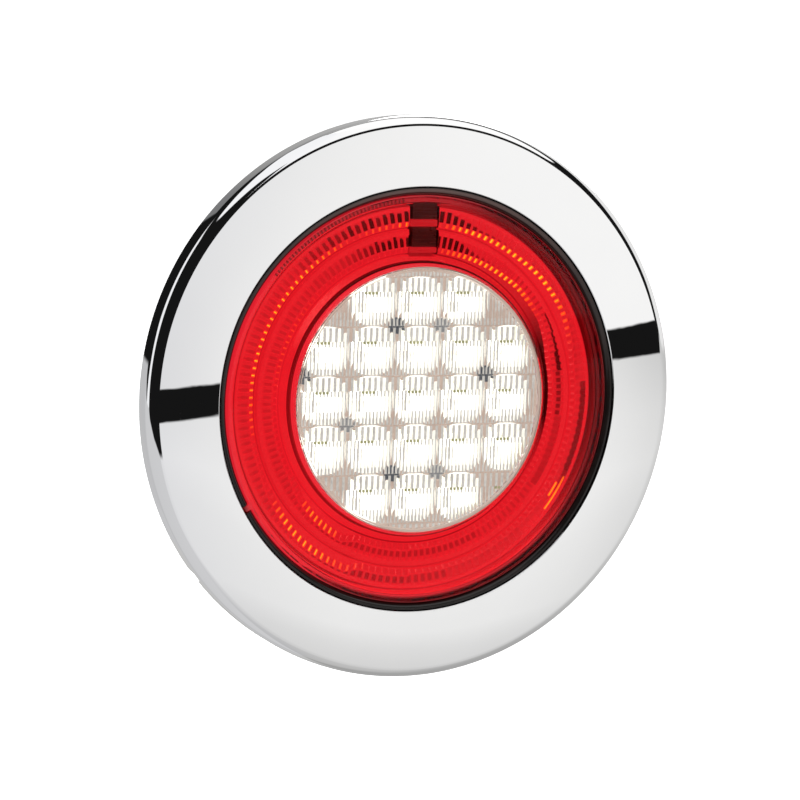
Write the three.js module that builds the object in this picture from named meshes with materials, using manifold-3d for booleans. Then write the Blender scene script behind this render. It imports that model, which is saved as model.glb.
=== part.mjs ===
// Round LED tail light for a trailer: a white centre lamp inside a red ring lamp, with a chrome bezel.
// Millimetres. +Z is up, +X is to the right and the lens faces -Y. The origin is the centre of the
// mounting plane, which is the rear face of the panel gasket. A "height" is a distance in front of that
// plane, so it is measured along -Y, and a negative height lies behind the vehicle's panel.

import * as THREE from 'three';
import { mergeVertices } from 'three/addons/utils/BufferGeometryUtils.js';
import Module from 'manifold-3d';

const wasm = await Module();
wasm.setup();

// ---------------------------------------------------------------- driving dimensions

const GAP = 0.3;               // clearance between neighbouring pieces
const LARGE_SIDES = 64;        // sides of the large turned pieces that show
const MEDIUM_SIDES = 40;       // sides of the turned pieces inside
const SMALL_SIDES = 16;        // sides of screws, holes and posts
const BITE = 0.2;              // how far joined shapes reach into each other

const BEZEL = {
  sideRadius: 75.15,           // widest point, in front of the side wall
  backRadius: 75.0,
  backHeight: 0.3,
  shoulderHeight: 5.4,         // where the side wall turns into the rounded edge
  faceRadius: 73.05,           // crisp edge between the rounded edge and the face
  faceOuterHeight: 8.6,
  faceInnerHeight: 11.0,
  faceCrown: 0.25,             // how far the face bulges over a straight cone
  innerRadius: 56.6,
  rollRadius: 0.8,             // rolled inner edge
  skirtHeight: 6.4,            // lower end of the inner skirt
  wall: 1.5,
  ribCount: 6,
  ribThickness: 1.2,
};

const RIM = {                  // front rim of the housing, inside the bezel
  outerRadius: 56.2,
  outerEdgeHeight: 9.8,
  crestRadius: 55.6,           // top of the rim's rounded edge
  crestHeight: 10.4,
  landRadius: 54.6,            // inner edge of the rim, beside the lens
  landHeight: 10.1,
  rabbetHeight: 7.8,           // floor that the lens seal lies on
  rabbetRadius: 53.3,
  throatRadius: 52.9,
  throatHeight: 6.6,
};

const FLANGE = {
  radius: 71.0,
  rearHeight: 2.3,
  frontHeight: 4.8,
};

const BODY = {                 // cup of the housing, behind the flange
  frontRadius: 54.2,
  rearRadius: 53.2,
  boreRadius: 52.2,
  ledgeHeight: 0.2,            // step that the tail reflector rests on
  rearHeight: -26.0,
  rearWall: 2.5,
  rearChamfer: 2.5,
};

const GASKET = { innerRadius: 56.0, outerRadius: 70.5, thickness: 2.0, holeRadius: 2.7 };

const MOUNTING = {             // three screws on one circle, hidden under the bezel
  circleRadius: 64.5,
  angles: [90, 210, 330],
  holeRadius: 2.4,
  shankRadius: 2.0,
  headRadius: 4.0,
  headThickness: 2.1,
  tipHeight: -11.0,
  tipLength: 3.0,
};

const LENS = {
  outerRadius: 54.3,
  redInnerRadius: 35.5,
  clearRadius: 35.2,
  rearHeight: 8.9,
  rimHeight: 10.6,
  crownHeight: 11.7,
  keyAngle: 210,
  keyWidth: 2.4,
  keyRadius: 56.0,
};

const SEAL = { innerRadius: 53.55, outerRadius: 54.25, lowHeight: 8.1, highHeight: 8.6 };

const DIVIDER = { innerRadius: 35.5, outerRadius: 36.5, highHeight: 8.6 };

const MAIN_BOARD = { radius: 51.6, frontHeight: -7.4, thickness: 1.6 };

const REFLECTOR = {            // red tray under the light guides
  innerRadius: 36.8,
  outerRadius: 52.6,
  baseHeight: 0.5,
  floorHeight: 2.0,
  wallHeight: 6.4,
  innerWallRadius: 37.9,
  ribInnerRadius: 44.8,
  ribOuterRadius: 46.4,
  ribHeight: 5.8,
  outerWallRadius: 51.8,
  legHoleRadius: 2.5,
};

const OUTER_GUIDE = { innerRadius: 46.9, outerRadius: 51.4, legRadius: 49.2, firstLeg: 54 };
const INNER_GUIDE = { innerRadius: 38.3, outerRadius: 44.4, legRadius: 41.4, firstLeg: 15 };
const GUIDE = {
  lowHeight: 2.3,
  highHeight: 6.2,
  legCount: 4,
  legThickness: 2.0,           // radius of a leg
  legHeight: -5.0,             // lower end of the legs, just over the red LEDs
  gapHalfWidth: 4.2,           // half the opening at the top of each ring
  sides: 48,
};

const GUIDE_CLIP = { halfWidth: 3.75, innerRadius: 38.6, outerRadius: 52.3, highHeight: 7.4 };

const LED_PITCH = 13.1;
const LED_ROWS = [3, 5, 5, 5, 3];
const LED = { width: 3.5, bodyThickness: 0.7, domeRadius: 1.4, domeThickness: 1.0 };

const TRAY = {                 // pale reflector of the white lamp
  radius: 35.2,
  highHeight: 7.6,
  cupRadius: 5.9,
  cupFloorRadius: 2.9,
  edgeWall: 0.7,
  cupSides: 12,
};

const SPREADER = { radius: 50.8, thickness: 2.0 };
const BOARD_FIXING = {         // screws that hold main board and heat spreader on the housing's pillars
  circleRadius: 45.2,
  angles: [30, 150, 270],
  holeRadius: 1.7,
  shankRadius: 1.3,
  headRadius: 2.7,
  headThickness: 1.6,
  shankLength: 10.0,
  pillarRadius: 3.6,
  pillarBore: 1.65,
};

const DRIVER_BOARD = { width: 56, tall: 36, thickness: 1.6, frontHeight: -19.4, centreZ: 9 };
const DRIVER_POST = { radius: 2.2, insetX: 5, insetZ: 5 };

// Parts on the driver board: x and z are measured from the board's centre, and stand is the height above it.
const INDUCTOR = { radius: 5.6, sides: 8, stand: 5.2, x: -14, z: 7 };
const CAPACITOR = { radius: 4.0, sides: SMALL_SIDES, stand: 6.6, x: -1, z: 9 };
const REGULATOR = { width: 10, tall: 9, stand: 4.4, x: 15, z: 8 };
const DIODE = { width: 7, tall: 5, stand: 2.4, x: 14, z: -6 };
const TERMINAL = { width: 12, tall: 8, stand: 6.2, x: -8, z: -10 };

const GLAND = {
  centreZ: -26,
  holeRadius: 6.1,
  threadRadius: 5.8,
  boreRadius: 3.6,
  hexRadius: 9.0,
  hexThickness: 2.6,
  neckRadius: 6.0,
  neckLength: 4.1,
  neckBore: 5.3,
  neckBoreLength: 4.4,
  capLength: 7.9,
  capBore: 6.3,
  capFootRadius: 7.6,
  capMouthRadius: 5.8,
  sealBore: 3.3,
  locknutRadius: 8.4,
  locknutThickness: 2.4,
  innerLength: 3.2,            // how far the thread stands into the housing
};

const VENT = { x: 24, z: -22, holeRadius: 2.6, stemRadius: 2.2, capRadius: 5.0, capThickness: 2.0 };

// ---------------------------------------------------------------- materials

function material(color, roughness, metalness, opacity = 1) {
  return new THREE.MeshStandardMaterial({ color, roughness, metalness, opacity, transparent: opacity < 1 });
}

const chrome = () => material(0xd8dadc, 0.06, 1.0);
const blackPlastic = () => material(0x151517, 0.4, 0.0);
const redLensPlastic = () => material(0xee1c24, 0.08, 0.0, 0.6);
const clearLensPlastic = () => material(0xf4f4f0, 0.06, 0.0, 0.35);
const redGuidePlastic = () => material(0xe01820, 0.15, 0.0);
const redTrayPlastic = () => material(0xb01018, 0.35, 0.0);
const paleTrayPlastic = () => material(0xb9a59b, 0.35, 0.0);
const whiteLedResin = () => material(0xfffbe8, 0.2, 0.0);
const redLedResin = () => material(0xff5a28, 0.2, 0.0);
const boardLaminate = () => material(0xe8e8e4, 0.45, 0.0);
const greenLaminate = () => material(0x1f5a36, 0.5, 0.0);
const aluminium = () => material(0xb4b8bc, 0.4, 1.0);
const blackRubber = () => material(0x1b1b1c, 0.85, 0.0);
const foamRubber = () => material(0x2a2a2c, 0.95, 0.0);
const zincSteel = () => material(0xb9bcc0, 0.3, 1.0);
const componentResin = () => material(0x232326, 0.55, 0.0);
const capacitorCan = () => material(0xa9adb2, 0.35, 1.0);
const terminalPlastic = () => material(0x3f7d4a, 0.5, 0.0);

// ---------------------------------------------------------------- shape helpers

function signedVolume(geometry) {
  const corners = geometry.index.array;
  const position = geometry.attributes.position;
  const [a, b, c] = [new THREE.Vector3(), new THREE.Vector3(), new THREE.Vector3()];
  let total = 0;
  for (let i = 0; i < corners.length; i += 3) {
    a.fromBufferAttribute(position, corners[i]);
    b.fromBufferAttribute(position, corners[i + 1]);
    c.fromBufferAttribute(position, corners[i + 2]);
    total += a.dot(b.cross(c)) / 6;
  }
  return total;
}

// Keeps the positions only, joins equal corners, drops collapsed triangles and turns the faces outwards.
function welded(geometry) {
  geometry.deleteAttribute('normal');
  geometry.deleteAttribute('uv');
  const merged = mergeVertices(geometry, 1e-4);
  const corners = merged.index.array;
  const kept = [];
  for (let i = 0; i < corners.length; i += 3) {
    const [a, b, c] = [corners[i], corners[i + 1], corners[i + 2]];
    if (a !== b && b !== c && c !== a) {
      kept.push(a, b, c);
    }
  }
  merged.setIndex(kept);
  if (signedVolume(merged) < 0) {
    merged.setIndex(kept.reverse());
  }
  return merged;
}

function toSolid(geometry) {
  const closed = welded(geometry);
  const mesh = new wasm.Mesh({
    numProp: 3,
    vertProperties: new Float32Array(closed.attributes.position.array),
    triVerts: new Uint32Array(closed.index.array),
  });
  return new wasm.Manifold(mesh);
}

function toGeometry(solid) {
  const mesh = solid.getMesh();
  const geometry = new THREE.BufferGeometry();
  geometry.setAttribute('position', new THREE.BufferAttribute(new Float32Array(mesh.vertProperties), 3));
  geometry.setIndex(Array.from(mesh.triVerts));
  return geometry;
}

// Joins every shape in added to base, then takes every shape in removed away from it.
function combined(base, added, removed) {
  let solid = toSolid(base);
  for (const piece of added) {
    solid = solid.add(toSolid(piece));
  }
  for (const piece of removed) {
    solid = solid.subtract(toSolid(piece));
  }
  return toGeometry(solid);
}

// A body turned about the lamp's axis from a closed outline of [radius, height] points.
function turned(outline, sides) {
  const points = outline.map(([radius, height]) => new THREE.Vector2(radius, -height));
  const startsOnAxis = outline[0][0] === 0;
  if (!startsOnAxis) {
    points.push(points[0].clone());
  }
  return new THREE.LatheGeometry(points, sides);
}

function ring(innerRadius, outerRadius, low, high, sides) {
  const outline = [[innerRadius, low], [outerRadius, low], [outerRadius, high], [innerRadius, high]];
  return turned(outline, sides);
}

function rod(radius, low, high, sides = SMALL_SIDES) {
  return new THREE.CylinderGeometry(radius, radius, high - low, sides).translate(0, -(low + high) / 2, 0);
}

function hexagon(radius, low, high) {
  return rod(radius, low, high, 6);
}

function block(width, tall, low, high) {
  return new THREE.BoxGeometry(width, high - low, tall).translate(0, -(low + high) / 2, 0);
}

// Swings a piece that was made on the +X side round the lamp's axis, anticlockwise seen from the front.
function swung(geometry, degrees) {
  return geometry.rotateY(-THREE.MathUtils.degToRad(degrees));
}

function onCircle(geometry, radius, degrees) {
  const angle = THREE.MathUtils.degToRad(degrees);
  return geometry.translate(radius * Math.cos(angle), 0, radius * Math.sin(angle));
}

// Points of a quarter ellipse from its widest point to its top.
function quarterArc(centreRadius, centreHeight, width, height, steps) {
  const points = [];
  for (let i = 0; i <= steps; i += 1) {
    const angle = (i / steps) * (Math.PI / 2);
    points.push([centreRadius + width * Math.cos(angle), centreHeight + height * Math.sin(angle)]);
  }
  return points;
}

function legAngles(firstLeg) {
  return Array.from({ length: GUIDE.legCount }, (_, i) => firstLeg + (i * 360) / GUIDE.legCount);
}

// ---------------------------------------------------------------- bezel, housing and lenses

function bezelFacePoints(steps, depth) {
  const innerRadius = BEZEL.innerRadius + BEZEL.rollRadius;
  const points = [];
  for (let i = 0; i <= steps; i += 1) {
    const t = i / steps;
    const radius = BEZEL.faceRadius + (innerRadius - BEZEL.faceRadius) * t;
    const cone = BEZEL.faceOuterHeight + (BEZEL.faceInnerHeight - BEZEL.faceOuterHeight) * t;
    points.push([radius, cone + BEZEL.faceCrown * 4 * t * (1 - t) - depth]);
  }
  return points;
}

function bezelRib(degrees) {
  const { innerRadius, wall, backRadius, skirtHeight, faceInnerHeight, faceOuterHeight } = BEZEL;
  const low = FLANGE.frontHeight + GAP;
  const from = innerRadius + wall / 2;
  const to = backRadius - wall / 2;
  const side = new THREE.Shape([
    new THREE.Vector2(from, -skirtHeight),
    new THREE.Vector2(from + wall, -low),
    new THREE.Vector2(to, -low),
    new THREE.Vector2(to, -skirtHeight),
    new THREE.Vector2(BEZEL.faceRadius - wall, -(faceOuterHeight - wall / 2)),
    new THREE.Vector2(from, -(faceInnerHeight - wall / 2)),
  ]);
  const rib = new THREE.ExtrudeGeometry(side, { depth: BEZEL.ribThickness, bevelEnabled: false });
  return swung(rib.translate(0, 0, -BEZEL.ribThickness / 2), degrees);
}

function chromeBezel() {
  const b = BEZEL;
  const innerFace = b.innerRadius + b.wall;
  const shoulder = quarterArc(
    b.faceRadius, b.shoulderHeight, b.sideRadius - b.faceRadius, b.faceOuterHeight - b.shoulderHeight, 5,
  );
  const roll = quarterArc(
    b.innerRadius + b.rollRadius, b.faceInnerHeight - b.rollRadius, -b.rollRadius, b.rollRadius, 3,
  ).reverse();
  const underside = bezelFacePoints(2, b.wall)
    .filter(([radius]) => radius > innerFace && radius < b.faceRadius - b.wall / 2)
    .reverse();
  const outline = [
    [b.backRadius - b.wall, b.backHeight],
    [b.backRadius, b.backHeight],
    ...shoulder,
    ...bezelFacePoints(4, 0).slice(1, -1),
    ...roll,
    [b.innerRadius, b.skirtHeight],
    [innerFace, b.skirtHeight],
    [innerFace, b.faceInnerHeight - b.wall],
    ...underside,
    [b.faceRadius - b.wall / 2, b.faceOuterHeight - b.wall],
    [b.backRadius - b.wall, b.shoulderHeight],
  ];
  const ribs = [];
  for (let i = 0; i < b.ribCount; i += 1) {
    ribs.push(bezelRib((i * 360) / b.ribCount));
  }
  return combined(turned(outline, LARGE_SIDES), ribs, []);
}

function housingShell() {
  const innerRear = BODY.rearHeight + BODY.rearWall;
  return turned([
    [0, BODY.rearHeight],
    [BODY.rearRadius - BODY.rearChamfer, BODY.rearHeight],
    [BODY.rearRadius, BODY.rearHeight + BODY.rearChamfer],
    [BODY.frontRadius, FLANGE.rearHeight],
    [FLANGE.radius, FLANGE.rearHeight],
    [FLANGE.radius, FLANGE.frontHeight],
    [RIM.outerRadius, FLANGE.frontHeight],
    [RIM.outerRadius, RIM.outerEdgeHeight],
    [RIM.crestRadius, RIM.crestHeight],
    [RIM.landRadius, RIM.landHeight],
    [RIM.landRadius, RIM.rabbetHeight],
    [RIM.rabbetRadius, RIM.rabbetHeight],
    [RIM.throatRadius, RIM.throatHeight],
    [RIM.throatRadius, BODY.ledgeHeight],
    [BODY.boreRadius, BODY.ledgeHeight],
    [BODY.boreRadius, innerRear],
    [0, innerRear],
  ], LARGE_SIDES);
}

function driverPostPlaces() {
  const x = DRIVER_BOARD.width / 2 - DRIVER_POST.insetX;
  const z = DRIVER_BOARD.tall / 2 - DRIVER_POST.insetZ;
  return [[-x, -z], [x, -z], [x, z], [-x, z]].map(([dx, dz]) => [dx, DRIVER_BOARD.centreZ + dz]);
}

function housing() {
  const innerRear = BODY.rearHeight + BODY.rearWall;
  const boardRear = MAIN_BOARD.frontHeight - MAIN_BOARD.thickness;
  const pillarTop = boardRear - SPREADER.thickness - 2 * GAP;
  const postTop = DRIVER_BOARD.frontHeight - DRIVER_BOARD.thickness - GAP;
  const f = BOARD_FIXING;
  const pillars = f.angles.map((angle) => (
    onCircle(rod(f.pillarRadius, innerRear - BITE, pillarTop), f.circleRadius, angle)
  ));
  const posts = driverPostPlaces().map(([x, z]) => (
    rod(DRIVER_POST.radius, innerRear - BITE, postTop).translate(x, 0, z)
  ));
  const pillarBores = f.angles.map((angle) => (
    onCircle(rod(f.pillarBore, innerRear + 1, pillarTop + 1), f.circleRadius, angle)
  ));
  const screwHoles = MOUNTING.angles.map((angle) => (
    onCircle(rod(MOUNTING.holeRadius, 0, FLANGE.frontHeight + 1), MOUNTING.circleRadius, angle)
  ));
  const notchWidth = LENS.keyWidth + 2 * GAP;
  const notch = block(6, notchWidth, RIM.rabbetHeight, RIM.crestHeight + 1).translate(RIM.outerRadius, 0, 0);
  const glandHole = rod(GLAND.holeRadius, BODY.rearHeight - 1, innerRear + 1).translate(0, 0, GLAND.centreZ);
  const ventHole = rod(VENT.holeRadius, BODY.rearHeight - 1, innerRear + 1).translate(VENT.x, 0, VENT.z);
  return combined(
    housingShell(),
    [...pillars, ...posts],
    [...pillarBores, ...screwHoles, swung(notch, LENS.keyAngle), glandHole, ventHole],
  );
}

function lensHeight(radius) {
  return LENS.crownHeight - (LENS.crownHeight - LENS.rimHeight) * (radius / LENS.outerRadius) ** 2;
}

function domePoints(fromRadius, toRadius, steps) {
  const points = [];
  for (let i = 0; i <= steps; i += 1) {
    const radius = fromRadius + ((toRadius - fromRadius) * i) / steps;
    points.push([radius, lensHeight(radius)]);
  }
  return points;
}

function redRingLens() {
  const ringShape = turned([
    [LENS.redInnerRadius, LENS.rearHeight],
    [LENS.outerRadius, LENS.rearHeight],
    ...domePoints(LENS.outerRadius, LENS.redInnerRadius, 3),
  ], LARGE_SIDES);
  const length = LENS.keyRadius - LENS.outerRadius + 1;
  const key = block(length, LENS.keyWidth, LENS.rearHeight, LENS.rimHeight - GAP);
  key.translate(LENS.keyRadius - length / 2, 0, 0);
  return combined(ringShape, [swung(key, LENS.keyAngle)], []);
}

function clearCentreLens() {
  return turned([
    [0, LENS.rearHeight],
    [LENS.clearRadius, LENS.rearHeight],
    ...domePoints(LENS.clearRadius, 0, 5),
  ], MEDIUM_SIDES);
}

function panelGasket() {
  const g = GASKET;
  const holes = MOUNTING.angles.map((angle) => (
    onCircle(rod(g.holeRadius, -1, g.thickness + 1), MOUNTING.circleRadius, angle)
  ));
  return combined(ring(g.innerRadius, g.outerRadius, 0, g.thickness, MEDIUM_SIDES), [], holes);
}

function mountingScrew() {
  const m = MOUNTING;
  const headLow = FLANGE.frontHeight + GAP;
  const headHigh = headLow + m.headThickness;
  const shape = turned([
    [0, m.tipHeight],
    [m.shankRadius, m.tipHeight + m.tipLength],
    [m.shankRadius, headLow],
    [m.headRadius, headLow],
    [m.headRadius, headLow + m.headThickness * 0.45],
    [m.headRadius * 0.75, headHigh - m.headThickness * 0.12],
    [m.headRadius * 0.4, headHigh],
    [0, headHigh],
  ], SMALL_SIDES);
  return combined(shape, [], crossRecess(m.headRadius, headHigh));
}

function crossRecess(headRadius, headHigh) {
  const slotLength = headRadius * 1.1;
  const slotWidth = headRadius * 0.26;
  const low = headHigh - headRadius * 0.35;
  return [
    block(slotLength, slotWidth, low, headHigh + 1),
    block(slotWidth, slotLength, low, headHigh + 1),
  ];
}

// ---------------------------------------------------------------- red ring lamp

function tailReflector() {
  const r = REFLECTOR;
  const tray = turned([
    [r.innerRadius, r.baseHeight],
    [r.outerRadius, r.baseHeight],
    [r.outerRadius, r.wallHeight],
    [r.outerWallRadius, r.wallHeight],
    [r.outerWallRadius, r.floorHeight],
    [r.ribOuterRadius, r.floorHeight],
    [r.ribOuterRadius, r.ribHeight],
    [r.ribInnerRadius, r.ribHeight],
    [r.ribInnerRadius, r.floorHeight],
    [r.innerWallRadius, r.floorHeight],
    [r.innerWallRadius, r.wallHeight],
    [r.innerRadius, r.wallHeight],
  ], MEDIUM_SIDES);
  const legHoles = [OUTER_GUIDE, INNER_GUIDE].flatMap((guide) => (
    legAngles(guide.firstLeg).map((angle) => (
      onCircle(rod(r.legHoleRadius, r.baseHeight - 1, r.floorHeight + 1, 12), guide.legRadius, angle)
    ))
  ));
  const clipWidth = 2 * (GUIDE_CLIP.halfWidth + GAP);
  const clipLength = GUIDE_CLIP.outerRadius - GUIDE_CLIP.innerRadius + 2 * GAP;
  const clipRoom = block(clipWidth, clipLength, r.floorHeight, r.wallHeight + 1);
  clipRoom.translate(0, 0, (GUIDE_CLIP.outerRadius + GUIDE_CLIP.innerRadius) / 2);
  return combined(tray, [], [...legHoles, clipRoom]);
}

function lightGuide(guide) {
  const track = ring(guide.innerRadius, guide.outerRadius, GUIDE.lowHeight, GUIDE.highHeight, GUIDE.sides);
  const legs = legAngles(guide.firstLeg).map((angle) => (
    onCircle(rod(GUIDE.legThickness, GUIDE.legHeight, GUIDE.lowHeight + 1, 12), guide.legRadius, angle)
  ));
  const opening = block(2 * GUIDE.gapHalfWidth, 20, GUIDE.lowHeight - 1, GUIDE.highHeight + 1);
  opening.translate(0, 0, (guide.innerRadius + guide.outerRadius) / 2);
  return combined(track, legs, [opening]);
}

function guideClip() {
  const c = GUIDE_CLIP;
  const r = REFLECTOR;
  const body = block(2 * c.halfWidth, c.outerRadius - c.innerRadius, r.floorHeight + GAP, c.highHeight);
  body.translate(0, 0, (c.outerRadius + c.innerRadius) / 2);
  const groove = block(2 * c.halfWidth + 2, r.ribOuterRadius - r.ribInnerRadius, r.ribHeight, c.highHeight + 1);
  groove.translate(0, 0, (r.ribOuterRadius + r.ribInnerRadius) / 2);
  return combined(body, [], [groove]);
}

function led(x, z) {
  const low = MAIN_BOARD.frontHeight + GAP;
  const bodyTop = low + LED.bodyThickness;
  const base = block(LED.width, LED.width, low, bodyTop);
  const dome = turned([
    [0, bodyTop - BITE],
    [LED.domeRadius, bodyTop - BITE],
    [LED.domeRadius, bodyTop],
    [LED.domeRadius * 0.8, bodyTop + LED.domeThickness * 0.6],
    [LED.domeRadius * 0.4, bodyTop + LED.domeThickness * 0.95],
    [0, bodyTop + LED.domeThickness],
  ], 8);
  return combined(base, [dome], []).translate(x, 0, z);
}

// ---------------------------------------------------------------- white centre lamp

function whiteLedPlaces() {
  const places = [];
  LED_ROWS.forEach((count, row) => {
    const z = ((LED_ROWS.length - 1) / 2 - row) * LED_PITCH;
    for (let column = 0; column < count; column += 1) {
      places.push([(column - (count - 1) / 2) * LED_PITCH, z]);
    }
  });
  return places;
}

function opticTray() {
  const low = MAIN_BOARD.frontHeight + GAP;
  const slope = (TRAY.cupRadius - TRAY.cupFloorRadius) / (TRAY.highHeight - low);
  const overrun = 1;
  const edge = toSolid(rod(TRAY.radius - TRAY.edgeWall, low - 2, TRAY.highHeight + 2, MEDIUM_SIDES));
  let tray = toSolid(rod(TRAY.radius, low, TRAY.highHeight, MEDIUM_SIDES));
  for (const [x, z] of whiteLedPlaces()) {
    const cone = new THREE.CylinderGeometry(
      TRAY.cupFloorRadius - slope * overrun,
      TRAY.cupRadius + slope * overrun,
      TRAY.highHeight - low + 2 * overrun,
      TRAY.cupSides,
    );
    cone.translate(x, -(TRAY.highHeight + low) / 2, z);
    tray = tray.subtract(toSolid(cone).intersect(edge));
  }
  return toGeometry(tray);
}

function dividerRing() {
  const low = MAIN_BOARD.frontHeight + GAP;
  return ring(DIVIDER.innerRadius, DIVIDER.outerRadius, low, DIVIDER.highHeight, MEDIUM_SIDES);
}

// ---------------------------------------------------------------- boards and electrics

function boardFixingHoles(low, high) {
  const f = BOARD_FIXING;
  return f.angles.map((angle) => (
    onCircle(rod(f.holeRadius, low - 1, high + 1, 12), f.circleRadius, angle)
  ));
}

function mainBoard() {
  const high = MAIN_BOARD.frontHeight;
  const low = high - MAIN_BOARD.thickness;
  return combined(rod(MAIN_BOARD.radius, low, high, MEDIUM_SIDES), [], boardFixingHoles(low, high));
}

function heatSpreader() {
  const high = MAIN_BOARD.frontHeight - MAIN_BOARD.thickness - GAP;
  const low = high - SPREADER.thickness;
  return combined(rod(SPREADER.radius, low, high, MEDIUM_SIDES), [], boardFixingHoles(low, high));
}

function boardScrew() {
  const f = BOARD_FIXING;
  const low = MAIN_BOARD.frontHeight + GAP;
  const high = low + f.headThickness;
  const shape = turned([
    [0, low - f.shankLength],
    [f.shankRadius, low - f.shankLength + 1],
    [f.shankRadius, low],
    [f.headRadius, low],
    [f.headRadius, low + f.headThickness * 0.5],
    [f.headRadius * 0.6, high],
    [0, high],
  ], 14);
  return combined(shape, [], crossRecess(f.headRadius, high));
}

function driverBoard() {
  const high = DRIVER_BOARD.frontHeight;
  const low = high - DRIVER_BOARD.thickness;
  return block(DRIVER_BOARD.width, DRIVER_BOARD.tall, low, high).translate(0, 0, DRIVER_BOARD.centreZ);
}

function roundComponent({ radius, sides, stand, x, z }) {
  const low = DRIVER_BOARD.frontHeight + GAP;
  return rod(radius, low, low + stand, sides).translate(x, 0, DRIVER_BOARD.centreZ + z);
}

function squareComponent({ width, tall, stand, x, z }) {
  const low = DRIVER_BOARD.frontHeight + GAP;
  return block(width, tall, low, low + stand).translate(x, 0, DRIVER_BOARD.centreZ + z);
}

// ---------------------------------------------------------------- gland and vent

function glandBody() {
  const g = GLAND;
  const rear = BODY.rearHeight - GAP;
  const hexRear = rear - g.hexThickness;
  const neckRear = hexRear - g.neckLength;
  const innerEnd = BODY.rearHeight + BODY.rearWall + g.innerLength;
  const thread = rod(g.threadRadius, rear - BITE, innerEnd);
  const neck = rod(g.neckRadius, neckRear, hexRear + BITE);
  const bore = rod(g.boreRadius, neckRear - 1, innerEnd + 1);
  const sealSeat = rod(g.neckBore, neckRear - 1, neckRear + g.neckBoreLength);
  const body = combined(hexagon(g.hexRadius, hexRear, rear), [thread, neck], [bore, sealSeat]);
  return body.translate(0, 0, g.centreZ);
}

function glandSeal() {
  const g = GLAND;
  const neckRear = BODY.rearHeight - GAP - g.hexThickness - g.neckLength;
  const seal = ring(g.sealBore, g.neckBore - GAP, neckRear, neckRear + g.neckBoreLength - GAP, SMALL_SIDES);
  return seal.translate(0, 0, g.centreZ);
}

function glandCap() {
  const g = GLAND;
  const front = BODY.rearHeight - GAP - g.hexThickness - GAP;
  const step = BODY.rearHeight - GAP - g.hexThickness - g.neckLength - GAP;
  const rear = front - g.capLength;
  const mouthFoot = step + BITE;
  const mouth = new THREE.CylinderGeometry(g.capMouthRadius, g.capFootRadius, mouthFoot - rear, SMALL_SIDES);
  mouth.translate(0, -(rear + mouthFoot) / 2, 0);
  const cap = combined(
    hexagon(g.hexRadius, step, front),
    [mouth],
    [rod(g.capBore, step, front + 1), rod(g.boreRadius, rear - 1, front + 1)],
  );
  return cap.translate(0, 0, g.centreZ);
}

function glandLocknut() {
  const g = GLAND;
  const low = BODY.rearHeight + BODY.rearWall + GAP;
  const high = low + g.locknutThickness;
  const bore = rod(g.threadRadius + GAP, low - 1, high + 1);
  return combined(hexagon(g.locknutRadius, low, high), [], [bore]).translate(0, 0, g.centreZ);
}

function breatherVent() {
  const v = VENT;
  const capHigh = BODY.rearHeight - GAP;
  const shape = turned([
    [0, capHigh - v.capThickness],
    [v.capRadius - 0.6, capHigh - v.capThickness],
    [v.capRadius, capHigh - v.capThickness + 0.6],
    [v.capRadius, capHigh],
    [v.stemRadius, capHigh],
    [v.stemRadius, BODY.rearHeight + BODY.rearWall + 0.5],
    [0, BODY.rearHeight + BODY.rearWall + 0.5],
  ], SMALL_SIDES);
  return shape.translate(v.x, 0, v.z);
}

// ---------------------------------------------------------------- assembly

const tailLight = new THREE.Group();
tailLight.name = 'trailer_tail_light';

function add(name, geometry, look) {
  const mesh = new THREE.Mesh(welded(geometry), look);
  mesh.name = name;
  tailLight.add(mesh);
}

add('chrome_bezel', chromeBezel(), chrome());
add('housing', housing(), blackPlastic());
add('panel_gasket', panelGasket(), foamRubber());
add('red_ring_lens', redRingLens(), redLensPlastic());
add('clear_centre_lens', clearCentreLens(), clearLensPlastic());
add('lens_seal', ring(SEAL.innerRadius, SEAL.outerRadius, SEAL.lowHeight, SEAL.highHeight, MEDIUM_SIDES),
  blackRubber());

MOUNTING.angles.forEach((angle, i) => {
  add(`mounting_screw_${i + 1}`, onCircle(mountingScrew(), MOUNTING.circleRadius, angle), zincSteel());
});

add('tail_reflector', tailReflector(), redTrayPlastic());
add('outer_light_guide', lightGuide(OUTER_GUIDE), redGuidePlastic());
add('inner_light_guide', lightGuide(INNER_GUIDE), redGuidePlastic());
add('guide_clip', guideClip(), blackPlastic());
add('divider_ring', dividerRing(), blackPlastic());
add('optic_tray', opticTray(), paleTrayPlastic());
add('main_board', mainBoard(), boardLaminate());
add('heat_spreader', heatSpreader(), aluminium());

whiteLedPlaces().forEach(([x, z], i) => {
  add(`white_led_${String(i + 1).padStart(2, '0')}`, led(x, z), whiteLedResin());
});

[OUTER_GUIDE, INNER_GUIDE].forEach((guide, ringIndex) => {
  legAngles(guide.firstLeg).forEach((angle, i) => {
    const number = String(ringIndex * GUIDE.legCount + i + 1).padStart(2, '0');
    add(`red_led_${number}`, onCircle(led(0, 0), guide.legRadius, angle), redLedResin());
  });
});

BOARD_FIXING.angles.forEach((angle, i) => {
  add(`board_screw_${i + 1}`, onCircle(boardScrew(), BOARD_FIXING.circleRadius, angle), zincSteel());
});

add('driver_board', driverBoard(), greenLaminate());
add('power_inductor', roundComponent(INDUCTOR), componentResin());
add('input_capacitor', roundComponent(CAPACITOR), capacitorCan());
add('regulator', squareComponent(REGULATOR), componentResin());
add('protection_diode', squareComponent(DIODE), componentResin());
add('wire_terminal', squareComponent(TERMINAL), terminalPlastic());

add('cable_gland', glandBody(), blackPlastic());
add('gland_seal', glandSeal(), blackRubber());
add('gland_cap', glandCap(), blackPlastic());
add('gland_locknut', glandLocknut(), blackPlastic());
add('breather_vent', breatherVent(), blackPlastic());

export default tailLight;
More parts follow.
